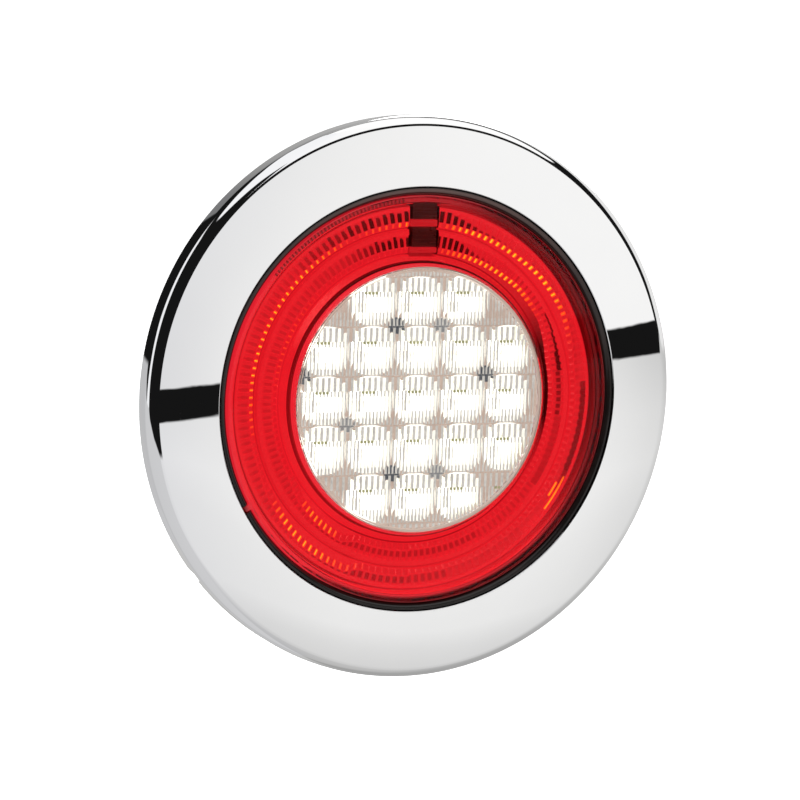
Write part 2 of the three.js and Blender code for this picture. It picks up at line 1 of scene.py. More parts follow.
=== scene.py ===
"""Looks for the round LED trailer tail light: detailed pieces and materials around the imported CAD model.

Pieces are made in millimetres as (radius, angle, height) round the lamp's axis. Height is measured out of
the lens, along -Y, from the rear face of the panel gasket. They are scaled to metres as they are built.
"""
import math

import bmesh
import bpy
import numpy as np
from mathutils import Matrix, Vector


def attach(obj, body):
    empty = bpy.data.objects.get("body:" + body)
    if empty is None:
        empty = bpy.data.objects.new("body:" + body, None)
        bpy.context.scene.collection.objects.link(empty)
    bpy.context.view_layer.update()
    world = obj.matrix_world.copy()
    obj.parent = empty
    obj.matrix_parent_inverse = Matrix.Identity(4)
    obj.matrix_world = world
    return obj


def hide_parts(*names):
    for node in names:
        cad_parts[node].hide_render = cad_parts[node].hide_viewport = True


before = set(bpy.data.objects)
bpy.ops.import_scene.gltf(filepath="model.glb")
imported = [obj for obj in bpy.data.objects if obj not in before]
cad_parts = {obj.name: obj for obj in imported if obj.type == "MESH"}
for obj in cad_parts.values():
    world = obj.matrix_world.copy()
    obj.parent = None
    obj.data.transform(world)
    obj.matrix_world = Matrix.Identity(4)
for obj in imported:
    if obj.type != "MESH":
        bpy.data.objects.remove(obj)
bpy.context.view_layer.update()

MM = 0.001
TAU = 2 * math.pi

# places on the lamp: the mounting screws, the lens's key, and the gland and the vent in the back as (x, z)
SCREW_ANGLES, SCREW_CIRCLE = (90, 210, 330), 64.5
KEY_ANGLE = 210
GLAND, VENT = (0, -26), (24, -22)

# painted warmth goes from 0 over this value to 1 as a glow goes through its three colours
HALF_WARM = 0.45


# --- shapes

def polar(radius, degrees, height):
    angle = math.radians(degrees)
    return (radius * math.cos(angle), -height, radius * math.sin(angle))


def bend(start, corner, end, t):
    """The point at t, from 0 to 1, of a curve that leaves start towards corner and arrives at end."""
    return (1 - t) ** 2 * start + 2 * t * (1 - t) * corner + t * t * end


def clean(mesh, sharp):
    """Turns the faces outwards and shades them smooth up to the given angle between neighbours."""
    work = bmesh.new()
    work.from_mesh(mesh)
    bmesh.ops.recalc_face_normals(work, faces=work.faces)
    work.to_mesh(mesh)
    work.free()
    mesh.shade_smooth()
    mesh.set_sharp_from_angle(angle=math.radians(sharp))


def add(name, data):
    """Puts a new object into the scene."""
    made = bpy.data.objects.new(name, data)
    bpy.context.scene.collection.objects.link(made)
    return made


def from_bmesh(name, work, sharp):
    mesh = bpy.data.meshes.new(name)
    work.to_mesh(mesh)
    work.free()
    clean(mesh, sharp)
    return add(name, mesh)


def make(name, verts, faces, sharp=32):
    mesh = bpy.data.meshes.new(name)
    mesh.from_pydata([tuple(c * MM for c in v) for v in verts], [], faces)
    clean(mesh, sharp)
    return add(name, mesh)


def rounded(corners, steps=4):
    """An outline whose corners given as (radius, height, size) are rounded off by about that size."""
    points = []
    count = len(corners)
    for i, corner in enumerate(corners):
        here = np.array(corner[:2], float)
        if len(corner) < 3:
            points.append(tuple(here))
            continue
        before = np.array(corners[i - 1][:2], float) - here
        after = np.array(corners[(i + 1) % count][:2], float) - here
        start = here + before * min(0.48, corner[2] / np.linalg.norm(before))
        end = here + after * min(0.48, corner[2] / np.linalg.norm(after))
        for k in range(steps + 1):
            points.append(tuple(bend(start, here, end, k / steps)))
    return points


def skin(rows, closed=False):
    """Faces between rows of vertex numbers that run round the axis. A row of one number is a point."""
    sides = max(map(len, rows))
    faces = []
    for low, high in zip(rows, [*rows[1:], rows[0]] if closed else rows[1:]):
        for k in range(sides):
            around = ((low, k), (low, k + 1), (high, k + 1), (high, k))
            corners = list(dict.fromkeys(row[column % len(row)] for row, column in around))
            if len(corners) > 2:
                faces.append(corners)
    return faces


def lathe(name, outline, sides=192, sharp=32, wave=None):
    """A body turned about the lamp's axis. wave(radius, height, angle) may shift a point by (dr, dh)."""
    verts, rows = [], []
    for radius, height in outline:
        if radius < 1e-6:
            rows.append([len(verts)])
            verts.append((0, -height, 0))
            continue
        rows.append(range(len(verts), len(verts) + sides))
        for k in range(sides):
            angle = TAU * k / sides
            dr, dh = wave(radius, height, angle) if wave else (0, 0)
            verts.append(((radius + dr) * math.cos(angle), -(height + dh), (radius + dr) * math.sin(angle)))
    return make(name, verts, skin(rows, closed=len(rows[0]) > 1 and len(rows[-1]) > 1), sharp)


def box(name, low, high, bevel=0):
    """A block between two corners in mm, given as (x, height, z), with its edges broken."""
    work = bmesh.new()
    bmesh.ops.create_cube(work, size=1)
    for vert in work.verts:
        x, y, z = ((low, high)[side > 0] for side in (vert.co.x, -vert.co.y, vert.co.z))
        vert.co = (x[0] * MM, -y[1] * MM, z[2] * MM)
    if bevel:
        bmesh.ops.bevel(work, geom=work.edges[:], offset=bevel * MM, segments=2, profile=0.6, affect="EDGES")
    return from_bmesh(name, work, 40)


def rod(name, radius, low, high, sides=32, bevel=0):
    size = (bevel,) if bevel else ()
    return lathe(name, rounded([(0, low), (radius, low, *size), (radius, high, *size), (0, high)], 3), sides)


def hexagon(name, radius, low, high):
    """A nut blank with its corners turned off, as a real one has."""
    turned = rod("turned", radius * 0.985, low, high, 48, 0.5)
    return boolean(rod(name, radius, low, high, 6), [turned], "INTERSECT")


def moved(piece, x=0, z=0, turn=0):
    """Turns a piece about the lamp's axis, then shifts it, both in its mesh."""
    rotation = Matrix.Rotation(-math.radians(turn), 4, "Y")
    piece.data.transform(Matrix.Translation(Vector((x, 0, z)) * MM) @ rotation)
    return piece


def on_circle(piece, radius, degrees):
    x, _, z = polar(radius, degrees, 0)
    return moved(piece, x, z)


def boolean(piece, others, operation="DIFFERENCE", sharp=32):
    for other in others:
        step = piece.modifiers.new("shape", "BOOLEAN")
        step.operation = operation
        step.object = other
        step.solver = "MANIFOLD"
        shape = bpy.data.meshes.new_from_object(piece.evaluated_get(bpy.context.evaluated_depsgraph_get()))
        piece.modifiers.clear()
        piece.data = shape
        bpy.data.objects.remove(other)
    clean(piece.data, sharp)
    return piece


def joined(name, pieces, sharp=32):
    """Several separate bodies as one object."""
    work = bmesh.new()
    for piece in pieces:
        work.from_mesh(piece.data)
        bpy.data.objects.remove(piece)
    return from_bmesh(name, work, sharp)


def places(items, key):
    """Vertices or faces as arrays of radius and angle in degrees round the axis, height, x and z, in mm."""
    co = np.empty(len(items) * 3)
    items.foreach_get(key, co)
    x, y, z = co.reshape(-1, 3).T / MM
    return np.hypot(x, z), np.degrees(np.arctan2(z, x)), -y, x, z


def corners_of(mesh):
    return places(mesh.vertices, "co")


def faces_of(mesh):
    return places(mesh.polygons, "center")


def from_gap(angle):
    """Degrees round from the opening at the top: positive to the right, negative to the left."""
    return (90 - angle + 180) % 360 - 180


def bump(value, centre, width):
    return np.exp(-((value - centre) / width) ** 2)


def follow(value, points):
    """Straight lines through (in, out) points, level beyond both ends."""
    return np.interp(value, *zip(*points))


def paint(mesh, **layers):
    """Writes values onto the vertices, where the materials read them by name."""
    for name, values in layers.items():
        attribute = mesh.attributes.new(name, "FLOAT", "POINT")
        attribute.data.foreach_set("value", np.full(len(mesh.vertices), values, np.float32))


def dress(piece, materials, choice=0):
    """Gives a piece its materials. choice may be an array of material numbers, one for each face."""
    piece.data.materials.clear()
    for look in materials:
        piece.data.materials.append(look)
    numbers = np.full(len(piece.data.polygons), choice, np.int32)
    piece.data.polygons.foreach_set("material_index", numbers)


def place(piece, materials, slot, *nodes, choice=0, body="lamp"):
    """Finishes a piece: its materials, the body it rides on and the CAD nodes it stands in for. slot is not
    used.
    """
    dress(piece, materials, choice)
    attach(piece, body)
    if nodes:
        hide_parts(*nodes)


# --- shader helpers

class Shader:
    """A node tree with short calls for what the materials here need."""

    def __init__(self, tree):
        self.tree = tree
        self.tree.nodes.clear()

    def node(self, kind, inputs=None, **settings):
        made = self.tree.nodes.new("ShaderNode" + kind)
        for key, value in settings.items():
            setattr(made, key, value)
        for key, value in (inputs or {}).items():
            self.put(made.inputs[key], value)
        return made

    def put(self, socket, value):
        if isinstance(value, Value):
            value = value.socket
        if isinstance(value, bpy.types.NodeSocket):
            self.tree.links.new(value, socket)
        else:
            socket.default_value = value

    def painted(self, name):
        return Value(self, self.node("Attribute", attribute_name=name).outputs["Fac"])

    def ramp(self, value, stops):
        """Colours blended in straight lines through (place, colour) stops, with places from 0 to 1."""
        made = self.node("ValToRGB", {0: value})
        elements = made.color_ramp.elements
        while len(elements) < len(stops):
            elements.new(0.5)
        for element, (position, _) in zip(elements, stops):
            element.position = position
        for element, (_, colour) in zip(elements, stops):
            element.color = (*colour, 1)
        return made.outputs["Color"]

    def table(self, value, points):
        """Straight lines through (in, out) points, level beyond both ends."""
        first, last = points[0][0], points[-1][0]
        low = min(y for _, y in points)
        reach = max(y for _, y in points) - low
        stops = [((x - first) / (last - first), ((y - low) / reach,) * 3) for x, y in points]
        return Value(self, self.ramp((value - first) / (last - first), stops)) * reach + low

    def mix(self, factor, first, second):
        made = self.node("Mix", data_type="RGBA")
        self.put(made.inputs["Factor"], factor)
        made.inputs[6].default_value = (*first, 1)
        made.inputs[7].default_value = (*second, 1)
        return made.outputs[2]

    def noise(self, scale, detail=3, stretch=(1, 1, 1), rough=0.5):
        """Noise between about 0.25 and 0.75. scale is in features a metre."""
        spot = self.node("TexCoord").outputs["Object"]
        if stretch != (1, 1, 1):
            spot = self.node("Mapping", {"Vector": spot, "Scale": stretch}).outputs[0]
        made = self.node("TexNoise", {"Vector": spot, "Scale": scale, "Detail": detail, "Roughness": rough})
        return Value(self, made.outputs[0])

    def bump(self, height, depth):
        return self.node("Bump", {"Height": height, "Distance": depth}).outputs[0]

    def finish(self, kind, **inputs):
        surface = self.node(kind)
        for key, value in inputs.items():
            self.put(surface.inputs[key.replace("_", " ")], value)
        output = self.node("OutputWorld" if kind == "Background" else "OutputMaterial")
        self.tree.links.new(surface.outputs[0], output.inputs["Surface"])


class Value:
    """A shader number that can be used in ordinary arithmetic."""

    def __init__(self, shader, socket):
        self.shader, self.socket = shader, socket

    def do(self, operation, *others):
        made = self.shader.node("Math", operation=operation)
        for socket, value in zip(made.inputs, (self, *others)):
            self.shader.put(socket, value)
        return Value(self.shader, made.outputs[0])

    def flipped(self):
        return (self * -1) + 1

    def covered(self, cover, light):
        """This light with another in front of it, where the cover is 1."""
        return self * cover.flipped() + cover * light

    def span(self, start, end, low=0, high=1):
        """A soft step from low to high as the value goes from start to end."""
        made = self.shader.node("MapRange", interpolation_type="SMOOTHSTEP")
        for socket, value in zip(made.inputs, (self, start, end, low, high)):
            self.shader.put(socket, value)
        return Value(self.shader, made.outputs[0])


def arithmetic(operation):
    return lambda value, other: value.do(operation, other)


Value.__add__ = arithmetic("ADD")
Value.__sub__ = arithmetic("SUBTRACT")
Value.__mul__ = arithmetic("MULTIPLY")
Value.__truediv__ = arithmetic("DIVIDE")
Value.power = arithmetic("POWER")


def material(name):
    made = bpy.data.materials.new(name)
    made.use_nodes = True
    return made, Shader(made.node_tree)


def solid(name, colour, rough, metal=0, mottle=0.12, grain=900, depth=0.02, vary=0.15, **more):
    """Moulded, cast or rolled stuff: uneven colour and gloss in patches and a fine surface grain."""
    made, s = material(name)
    patches = s.noise(90, 4)
    fine = s.noise(grain, 2)
    tone = (patches - 0.5) * (2 * mottle)
    dark = tuple(c * (1 - mottle) for c in colour)
    light = tuple(min(1, c * (1 + mottle)) for c in colour)
    s.finish(
        "BsdfPrincipled",
        Base_Color=s.mix(tone + 0.5 + (fine - 0.5) * mottle, dark, light),
        Metallic=metal,
        Roughness=(fine + patches - 1) * vary + rough,
        Normal=s.bump(fine, depth * MM),
        **more,
    )
    return made


def chrome_plate():
    made, s = material("chrome_plate")
    haze = s.noise(60, 5, rough=0.6)
    scuffs = s.noise(2600, 1, stretch=(1, 1, 0.05))
    s.finish(
        "BsdfPrincipled",
        Base_Color=s.mix(haze, (0.915, 0.918, 0.925), (0.945, 0.947, 0.95)),
        Metallic=1,
        Roughness=haze.span(0.5, 0.85, 0.004, 0.035) + scuffs.span(0.66, 0.8, 0, 0.015),
        Normal=s.bump(s.noise(140, 2), 0.004 * MM),
    )
    return made


def rim_gloss():
    """Polished black plastic with a painted sheen: the sheen_top value lifts its colour to a grey brown along
    the top, where the light from above falls.
    """
    made, s = material("rim_gloss")
    patches = s.noise(90, 4)
    s.finish(
        "BsdfPrincipled",
        Base_Color=s.mix(s.painted("sheen_top") + (patches - 0.5) * 0.2, (0.011, 0.0085, 0.008),
                         (0.2, 0.125, 0.112)),
        Roughness=s.noise(500, 2).span(0.3, 0.7, 0.1, 0.2),
        Specular_IOR_Level=0.36,
        Normal=s.bump(s.noise(500, 2), 0.003 * MM),
    )
    return made


def lens_plastic(name, tint, ior):
    """Clear plastic, with faint flow marks and dust that only touch its gloss."""
    made, s = material(name)
    s.finish(
        "BsdfPrincipled",
        Base_Color=s.mix(s.noise(45), tint, tuple(c * 0.97 for c in tint)),
        Roughness=s.noise(700, 4).span(0.6, 0.9, 0, 0.03),
        IOR=ior,
        Transmission_Weight=1,
    )
    return made


def lit_plastic(name, base, cool, warm, hot, grain=0.1):
    """Plastic that carries LED light. Its glow and warmth values are painted on the mesh."""
    made, s = material(name)
    fine = s.noise(1500, 2)
    soft = s.noise(120, 3)
    s.finish(
        "BsdfPrincipled",
        Base_Color=s.mix(soft, tuple(c * 0.8 for c in base), base),
        Roughness=0.25,
        Normal=s.bump(fine, 0.01 * MM),
        Emission_Color=s.ramp(s.painted("warmth"), ((0, cool), (HALF_WARM, warm), (1, hot))),
        Emission_Strength=s.painted("glow") * ((fine - 0.5) * (2 * grain) + (soft - 0.5) * grain + 1),
    )
    return made


# --- materials

CHROME = chrome_plate()
RIM_GLOSS = rim_gloss()
MOULDED = solid("housing_moulding", (0.017, 0.017, 0.018), 0.46, mottle=0.2, grain=1500, depth=0.03)
FOAM = solid("gasket_foam", (0.03, 0.03, 0.032), 0.93, mottle=0.35, grain=2600, depth=0.16, vary=0.05)
RUBBER = solid("seal_rubber", (0.016, 0.016, 0.017), 0.62, grain=1300)
ZINC = solid("zinc_plating", (0.6, 0.61, 0.6), 0.3, 1, mottle=0.1, grain=1800, depth=0.006, vary=0.25)
CLIP_BLACK = solid("clip_black", (0.085, 0.017, 0.016), 0.3, depth=0.01)
BOARD_WHITE = solid("board_white", (0.78, 0.78, 0.75), 0.42, mottle=0.05)
BOARD_GREEN = solid("board_green", (0.02, 0.12, 0.05), 0.4, mottle=0.2)
ALUMINIUM = solid("rolled_aluminium", (0.6, 0.62, 0.64), 0.38, 1, grain=1200, depth=0.01)
CAN = solid("drawn_can", (0.55, 0.57, 0.6), 0.3, 1)
RESIN = solid("moulded_epoxy", (0.03, 0.03, 0.034), 0.5, mottle=0.2)
TERMINAL = solid("terminal_green", (0.05, 0.25, 0.09), 0.45)
# painted light: the socket pins glow, the pale ones more brightly
SOCKET_GREY_GLOW = solid("socket_grey_glow", (0.07, 0.075, 0.09), 0.35, depth=0.01,
                    Emission_Color=(0.1, 0.11, 0.14, 1), Emission_Strength=0.3)
SOCKET_PALE_GLOW = solid("socket_pale_glow", (0.22, 0.22, 0.23), 0.35, depth=0.01,
                    Emission_Color=(0.2, 0.2, 0.21, 1), Emission_Strength=0.6)

RED_LENS = lens_plastic("red_lens_plastic", (0.97, 0.45, 0.43), 1.18)
CLEAR_LENS = lens_plastic("clear_lens_plastic", (0.995, 0.995, 0.99), 1.47)

RED_GLOW = ((0.77, 0.023, 0.042), (2.2, 0.34, 0.02), (3.2, 1.5, 0.06))
ROSE, LIGHT_ROSE, MILK = (0.9, 0.03, 0.03), (1, 0.05, 0.03), (0.8, 0.78, 0.75)
RED_GUIDE = lit_plastic("lit_red_guide", (0.12, 0.002, 0.003), *RED_GLOW)
RED_TRAY = lit_plastic("lit_red_tray", (0.15, 0.002, 0.003), *RED_GLOW)
LENS_EDGE = lit_plastic("lens_edge", (0.12, 0.002, 0.003), (0.7, 0.014, 0.026), ROSE, LIGHT_ROSE)
DIVIDER = lit_plastic("divider_wall", (0.01, 0.004, 0.004), (0.62, 0.012, 0.022), ROSE, LIGHT_ROSE)
PALE_TRAY = lit_plastic("pale_tray", (0.36, 0.27, 0.23), (0.39, 0.3, 0.25), (0.8, 0.74, 0.66),
                        (1.1, 1.08, 0.98), 0.16)
# painted light: opaque faces in the clear lens's flute valleys that glow grey, and olive along a short dash
FLUTE_GREY_GLOW = lit_plastic("flute_grey_glow", (0.35, 0.33, 0.31), (0.3, 0.28, 0.26), (0.44, 0.42, 0.39), MILK, 0.45)
FLUTE_OLIVE_GLOW = lit_plastic("flute_olive_glow", (0.2, 0.2, 0.12), (0.22, 0.21, 0.11), (0.26, 0.25, 0.13), MILK, 0.6)
CUP_LIGHT = lit_plastic("cup_reflector", (0.6, 0.6, 0.57), (0.2, 0.19, 0.11), (0.62, 0.6, 0.55),
                        (1.24, 1.23, 1.16), 0.34)
WHITE_LED = lit_plastic("white_led", (0.9, 0.85, 0.6), (1.6, 1.55, 1.2), (3, 3, 2.7), (3.5, 3.5, 3.2))
RED_LED = lit_plastic("red_led", (0.9, 0.2, 0.05), (2, 0.4, 0.06), (2.6, 0.7, 0.1), (3, 1, 0.2))


# --- chrome bezel

PRY_NOTCH = 218.3


def bezel_outline():
    """The side wall's shoulder, the coned face, the rolled inner edge and the hollow underside."""
    wall_r, outer_r, inner_r, roll = 75.15, 72.9, 56.85, 0.25
    wall_top, corner_top, face_low, face_high, crown = 5.4, 7.8, 8.6, 11, 0.25
    shoulder = [(bend(wall_r, wall_r, outer_r, t), bend(wall_top, corner_top, face_low, t))
                for t in np.linspace(0, 1, 33)]
    face = [(outer_r + (inner_r - outer_r) * t,
             face_low + (face_high - face_low) * t + 4 * crown * t * (1 - t))
            for t in np.linspace(0, 1, 25)[1:-1]]
    edge = [(inner_r - roll * math.sin(a), face_high - roll + roll * math.cos(a))
            for a in np.linspace(0, math.pi / 2, 12)]
    inside = [(56.6, 6.55), (56.75, 6.4), (57.95, 6.4), (58.1, 6.55), (58.1, 9.4)]
    under = [(64, 8.75), (70.6, 7.6), (73.3, 6.4), (73.5, 5.4), (73.5, 0.4), (73.6, 0.3), (74.9, 0.3),
             (75, 0.4)]
    return [*shoulder, *face, *edge, *inside, *under]


def chrome_bezel():
    def pry_notch(radius, height, angle):
        beside = abs(math.degrees(angle) - PRY_NOTCH)
        return (0, 2.3 if beside < 1.6 and height < 0.6 else 0)

    parts = [lathe("bezel", bezel_outline(), 384, wave=pry_notch)]
    shape = [(58, 6.35), (59.5, 5.1), (74.2, 5.1), (74.2, 6.4), (72, 8), (58, 10.3)]
    verts = [(radius, -height, side) for side in (-0.6, 0.6) for radius, height in shape]
    near, far = range(len(shape)), range(len(shape), len(verts))
    for k in range(6):
        rib = make("rib", verts, [near, far[::-1], *skin([near, far])])
        parts.append(moved(rib, turn=60 * k))
    place(joined("bezel_chromed", parts, sharp=9), [CHROME], "chrome", "chrome_bezel", body="bezel")


# --- housing

def housing():
    outline = rounded([
        (0, -26), (50.6, -26, 0.8), (53.2, -23.4, 0.8), (54.2, 1.4, 0.3), (54.9, 2.3, 0.3), (70.9, 2.3, 0.3),
        (71, 4.8, 0.5), (56.3, 4.8, 0.3), (56.3, 10.72, 0.2), (55.9, 10.82, 0.25), (55.3, 10.62, 0.3),
        (54.82, 10.1, 0.3), (54.6, 9.7), (54.6, 7.8), (53.3, 7.8, 0.1), (52.9, 6.6), (52.9, 0.2), (52.2, 0.2),
        (52.2, -23.5), (0, -23.5),
    ])
    shell = lathe("housing_shell", outline, 320)
    pads, holes = [], []
    for angle in SCREW_ANGLES:
        pads.append(on_circle(rod("pad", 4.9, 4.5, 5.05, 40, 0.2), SCREW_CIRCLE, angle))
        holes.append(on_circle(rod("hole", 2.4, 0, 8, 40), SCREW_CIRCLE, angle))
    for k in range(16):
        crush = box("crush", (53, -21.5, -0.5), (54.9, 1.9, 0.5), 0.3)
        pads.append(moved(crush, turn=11.25 + 22.5 * k))
    pads.append(lathe("ring", rounded([(38, -26.7, 0.4), (40, -26.7, 0.4), (40, -25.5), (38, -25.5)]), 160))
    for angle in (30, 150, 270):
        pads.append(on_circle(rod("boss", 5.6, -26.9, -25.6, 48, 0.4), 45.2, angle))
    for turn in (0, 60, 120):
        pads.append(moved(box("stiffener", (-30, -26.7, -0.7), (30, -25.5, 0.7), 0.25), 0, 6, turn))
    holes.append(moved(box("notch", (53.4, 7.8, -1), (59.2, 12, 1)), turn=KEY_ANGLE))
    for spot, radius, top, sides in ((GLAND, 6.1, -20, 48), (VENT, 2.6, -20, 32), (GLAND, 10.2, -26, 48),
                                     (VENT, 6.2, -26, 40)):
        holes.append(moved(rod("hole", radius, -30, top, sides), *spot))
    for x, z in ((18, 27), (-18, 27), (33, 6), (-33, 6), (-24, -22)):
        holes.append(moved(rod("ejector_mark", 2.5, -26.5, -25.85, 32), x, z))
    boolean(shell, pads, "UNION")
    boolean(shell, holes)
    radius, _, height, _, _ = faces_of(shell.data)
    glossy = (height > 5.2) & (radius < 56.6)
    # painted sheen along the top of the rim, kept off thin rings at radii 56.3 and 55 mm
    radius, angle, _, _, _ = corners_of(shell.data)
    off_edges = (1 - bump(radius, 56.3, 0.3)) * (1 - bump(radius, 55, 0.2))
    paint(shell.data, sheen_top=0.8 * bump(from_gap(angle), 3, 46) * off_edges)
    place(shell, [MOULDED, RIM_GLOSS], "black_housing", "housing", choice=glossy)


def panel_gasket():
    ring = lathe("panel_gasket_foam", rounded([
        (56, 0, 0.5), (70.5, 0, 0.5), (70.5, 2, 0.5), (56, 2, 0.5)]), 256,
        wave=lambda r, s, a: (0.1 * math.sin(23 * a) * (r > 70), 0))
    boolean(ring, [on_circle(rod("hole", 2.7, -1, 3, 32), SCREW_CIRCLE, angle) for angle in SCREW_ANGLES])
    place(ring, [FOAM], "gasket_foam", "panel_gasket")


# --- lenses

LENS_RIM, LENS_CROWN, LENS_RADIUS = 10.6, 11.7, 54.3


def dome(radius):
    return LENS_CROWN - (LENS_CROWN - LENS_RIM) * (radius / LENS_RADIUS) ** 2


# how strongly the ring glows, as (degrees from the gap, glow): at the red lens's rim, just inside the rim,
# and beside the centre lamp
ROUND_RIM = ((-180, 0.13), (-168, 0.15), (-156, 0.3), (-144, 0.95), (-60, 1), (-36, 0.72), (-8, 0.5),
             (8, 0.44), (24, 0.13), (150, 0.1), (180, 0.13))
INNER_RIM = ((-180, 0.92), (-60, 1), (-36, 0.72), (-8, 0.5), (8, 0.44), (24, 0.1), (92, 0.07), (106, 0.12),
             (132, 0.6), (180, 0.92))
BY_CENTRE = ((-40, 1), (4, 0.9), (40, 0.8), (52, 0.7), (70, 0.03), (98, 0.03), (110, 0.5),
             (122, 0.9), (180, 1))
LENS_SIDES = 600


def red_lens():
    outline = [
        (35.5, 8.9), (36.1, 8.65), (36.35, 8.9), (52.3, 8.9), (52.5, 8.6), (53.3, 8.6), (54.2, 8.6),
        (54.3, 8.7), (54.3, 10.25), (54.22, 10.45), (54, 10.6),
    ]
    outline += [(r, dome(r)) for r in np.linspace(53.6, 35.7, 20)]
    outline += [(35.56, dome(35.6) - 0.08), (35.5, dome(35.6) - 0.2)]
    lens = lathe("red_lens_ring", outline, LENS_SIDES)
    key = moved(box("key", (53.4, 8.75, -0.75), (56, 10.3, 0.75), 0.15), turn=KEY_ANGLE)
    boolean(lens, [key], "UNION")
    radius, angle, height, _, _ = faces_of(lens.data)
    keyed = (np.abs(from_gap(angle) - from_gap(KEY_ANGLE)) < 1.5) & (radius > 53.9)
    edge = (radius > 53.85) & (height < 10.62)
    foot = ((radius < 36.3) | (radius > 52.5)) & (height < 8.95)

    radius, angle, height, _, _ = corners_of(lens.data)
    across = from_gap(angle)
    near_key = (np.abs(across - from_gap(KEY_ANGLE)) < 1.6) & (radius > 54.35)
    rim = np.where(radius < 53, follow(across, INNER_RIM), follow(across, ROUND_RIM))
    # every second corner of the foot is dark at the upper left, which shows as a row of small ticks
    second = np.round(angle * LENS_SIDES / 360) % 2 == 1
    ticks = second & (np.abs(across + 29) < 23) & (radius > 52.4) & (radius < 53.8) & (height < 8.95)
    rim = np.where(ticks, 0.1 * rim, rim)
    glow = np.where(radius < 37, follow(across, BY_CENTRE), np.where(near_key, 0.14, rim))
    paint(lens.data, glow=glow, warmth=0.1 * near_key)
    place(lens, [RED_LENS, LENS_EDGE, RED_TRAY], "red_lens", "red_ring_lens",
          choice=np.where(foot, 2, edge | keyed))


PITCH = 13.1
HALF = PITCH / 2
COARSE, FINE = PITCH / 8, PITCH / 13
FINE_SHIFT = 0.3
COMB_FROM = 2.7
UNDERSIDE = 10.4


def arch(x, pitch, rise):
    """Round-topped flutes side by side: 0 in the valleys and rise on the crests."""
    half = pitch / 2
    reach = (half * half + rise * rise) / (2 * rise)
    off = (x / pitch) % 1 * pitch - half
    return np.sqrt(reach * reach - off * off) - (reach - rise)


def in_cell(x):
    """How far a position lies from the middle of its cell."""
    return (x / PITCH + 0.5) % 1 * PITCH - HALF


def fluted_slab():
    """In every cell the underside has wide upright flutes at the top, the comb, and narrow ones below."""
    columns = np.arange(-36, 36.01, PITCH / 104)
    levels = [-6.55, -6.35, -6.3, -4.5, -2.7, -1.6, 0.2, 1.2, 2, COMB_FROM - 0.01, COMB_FROM + 0.01, 4, 5.3,
              6.3, 6.35]
    rows = np.array([level + PITCH * k for k in range(-3, 4) for level in levels])
    x, z = np.meshgrid(columns, rows[np.abs(rows) < 36])
    cell = in_cell(z)
    seam = np.abs(np.abs(cell) - HALF) < 0.21
    crest = np.where(cell > COMB_FROM, arch(x, COARSE, 0.28), arch(x + FINE_SHIFT, FINE, 0.18))
    height = np.where(seam, UNDERSIDE + 0.02, UNDERSIDE - crest - 0.1 * (1 - (cell / HALF) ** 2))
    tall, wide = x.shape
    count = wide * tall
    under = np.stack([x.ravel(), -height.ravel(), z.ravel()], 1)
    edge = [*range(wide), *range(2 * wide - 1, count, wide), *range(count - 2, count - wide - 1, -1),
            *range(count - 2 * wide, 0, -wide)]
    lid = under[edge].copy()
    lid[:, 1] = -14
    start = (np.arange(tall - 1)[:, None] * wide + np.arange(wide - 1)).ravel()
    faces = np.stack([start, start + 1, start + wide + 1, start + wide], 1).tolist()
    top = range(count, count + len(edge))
    return make("clear_lens_core", np.concatenate([under, lid]).tolist(), [*faces, *skin([edge, top]), top])


def clear_lens():
    """A shallow dome over the fluted underside. Valleys between the flutes carry painted light: opaque faces
    that glow grey, and olive along a short dash.
    """
    slab = fluted_slab()
    outline = [(0, 9.5), (34.9, 9.5), (35.2, 9.6), (35.2, dome(35) - 0.25), (35.12, dome(35) - 0.1),
               (34.95, dome(34.95)), *[(r, dome(r)) for r in np.linspace(33, 2, 16)], (0, LENS_CROWN)]
    boolean(slab, [lathe("clear_body", outline, 256)], "INTERSECT", sharp=34)
    rim = lathe("rim", [(34.2, 9.5), (35.2, 9.5), (35.2, 10.5), (34.2, 10.5)], 256)
    pip = moved(rod("pip", 0.9, 11, 11.72, 24, 0.1), 1.9, 33.4)
    boolean(slab, [rim, pip], "UNION", sharp=34)

    radius, _, s, x, z = faces_of(slab.data)
    cell_x, cell_z = in_cell(x), in_cell(z)
    below = cell_z < COMB_FROM
    wide_off = np.abs((x / COARSE) % 1 - 0.5)
    fine_off = np.abs(((x + FINE_SHIFT) / FINE) % 1 - 0.5)
    uneven = np.sin(np.floor((x + FINE_SHIFT) / FINE) * 2.9 + np.round(z / PITCH) * 1.7)
    under = (s < UNDERSIDE + 0.01) & (s > 9.8) & (radius < 34) & (np.abs(np.abs(cell_z) - HALF) > 0.25)
    comb = (cell_z > COMB_FROM) & (wide_off > 0.28)
    low = (cell_z < -2.6 - 1.3 * uneven) & (fine_off > 0.41 - 0.05 * (np.abs(cell_z) - 2) + 0.03 * uneven)
    upper = (cell_z > 1) & below & (fine_off > 0.36)
    beside = (np.abs(cell_x + 4.6) < 0.75) & (fine_off > 0.14)
    beside |= (np.abs(cell_x - 5.4) < 0.8) & (fine_off > 0.26)
    left = (cell_x < -2.4) & (fine_off > 0.36 + 0.06 * uneven)
    dash = (np.abs(cell_x + 1.9) < 2.1) & (cell_z > 1.9) & below & (fine_off > 0.12)
    middle = below & (cell_z > -2.7) & (beside | left)
    # painted light: the valley faces picked here glow grey, and those of the dash glow olive
    painted_grey = under & (comb | low | upper | middle | dash)
    paint(slab.data, glow=1, warmth=HALF_WARM)
    place(slab, [CLEAR_LENS, FLUTE_GREY_GLOW, FLUTE_OLIVE_GLOW], "clear_lens", "clear_centre_lens",
          choice=np.where(under & dash, 2, painted_grey))


# --- red light ring

TEETH = 150
GAP_X = 1
GAP_TURN = 1.2

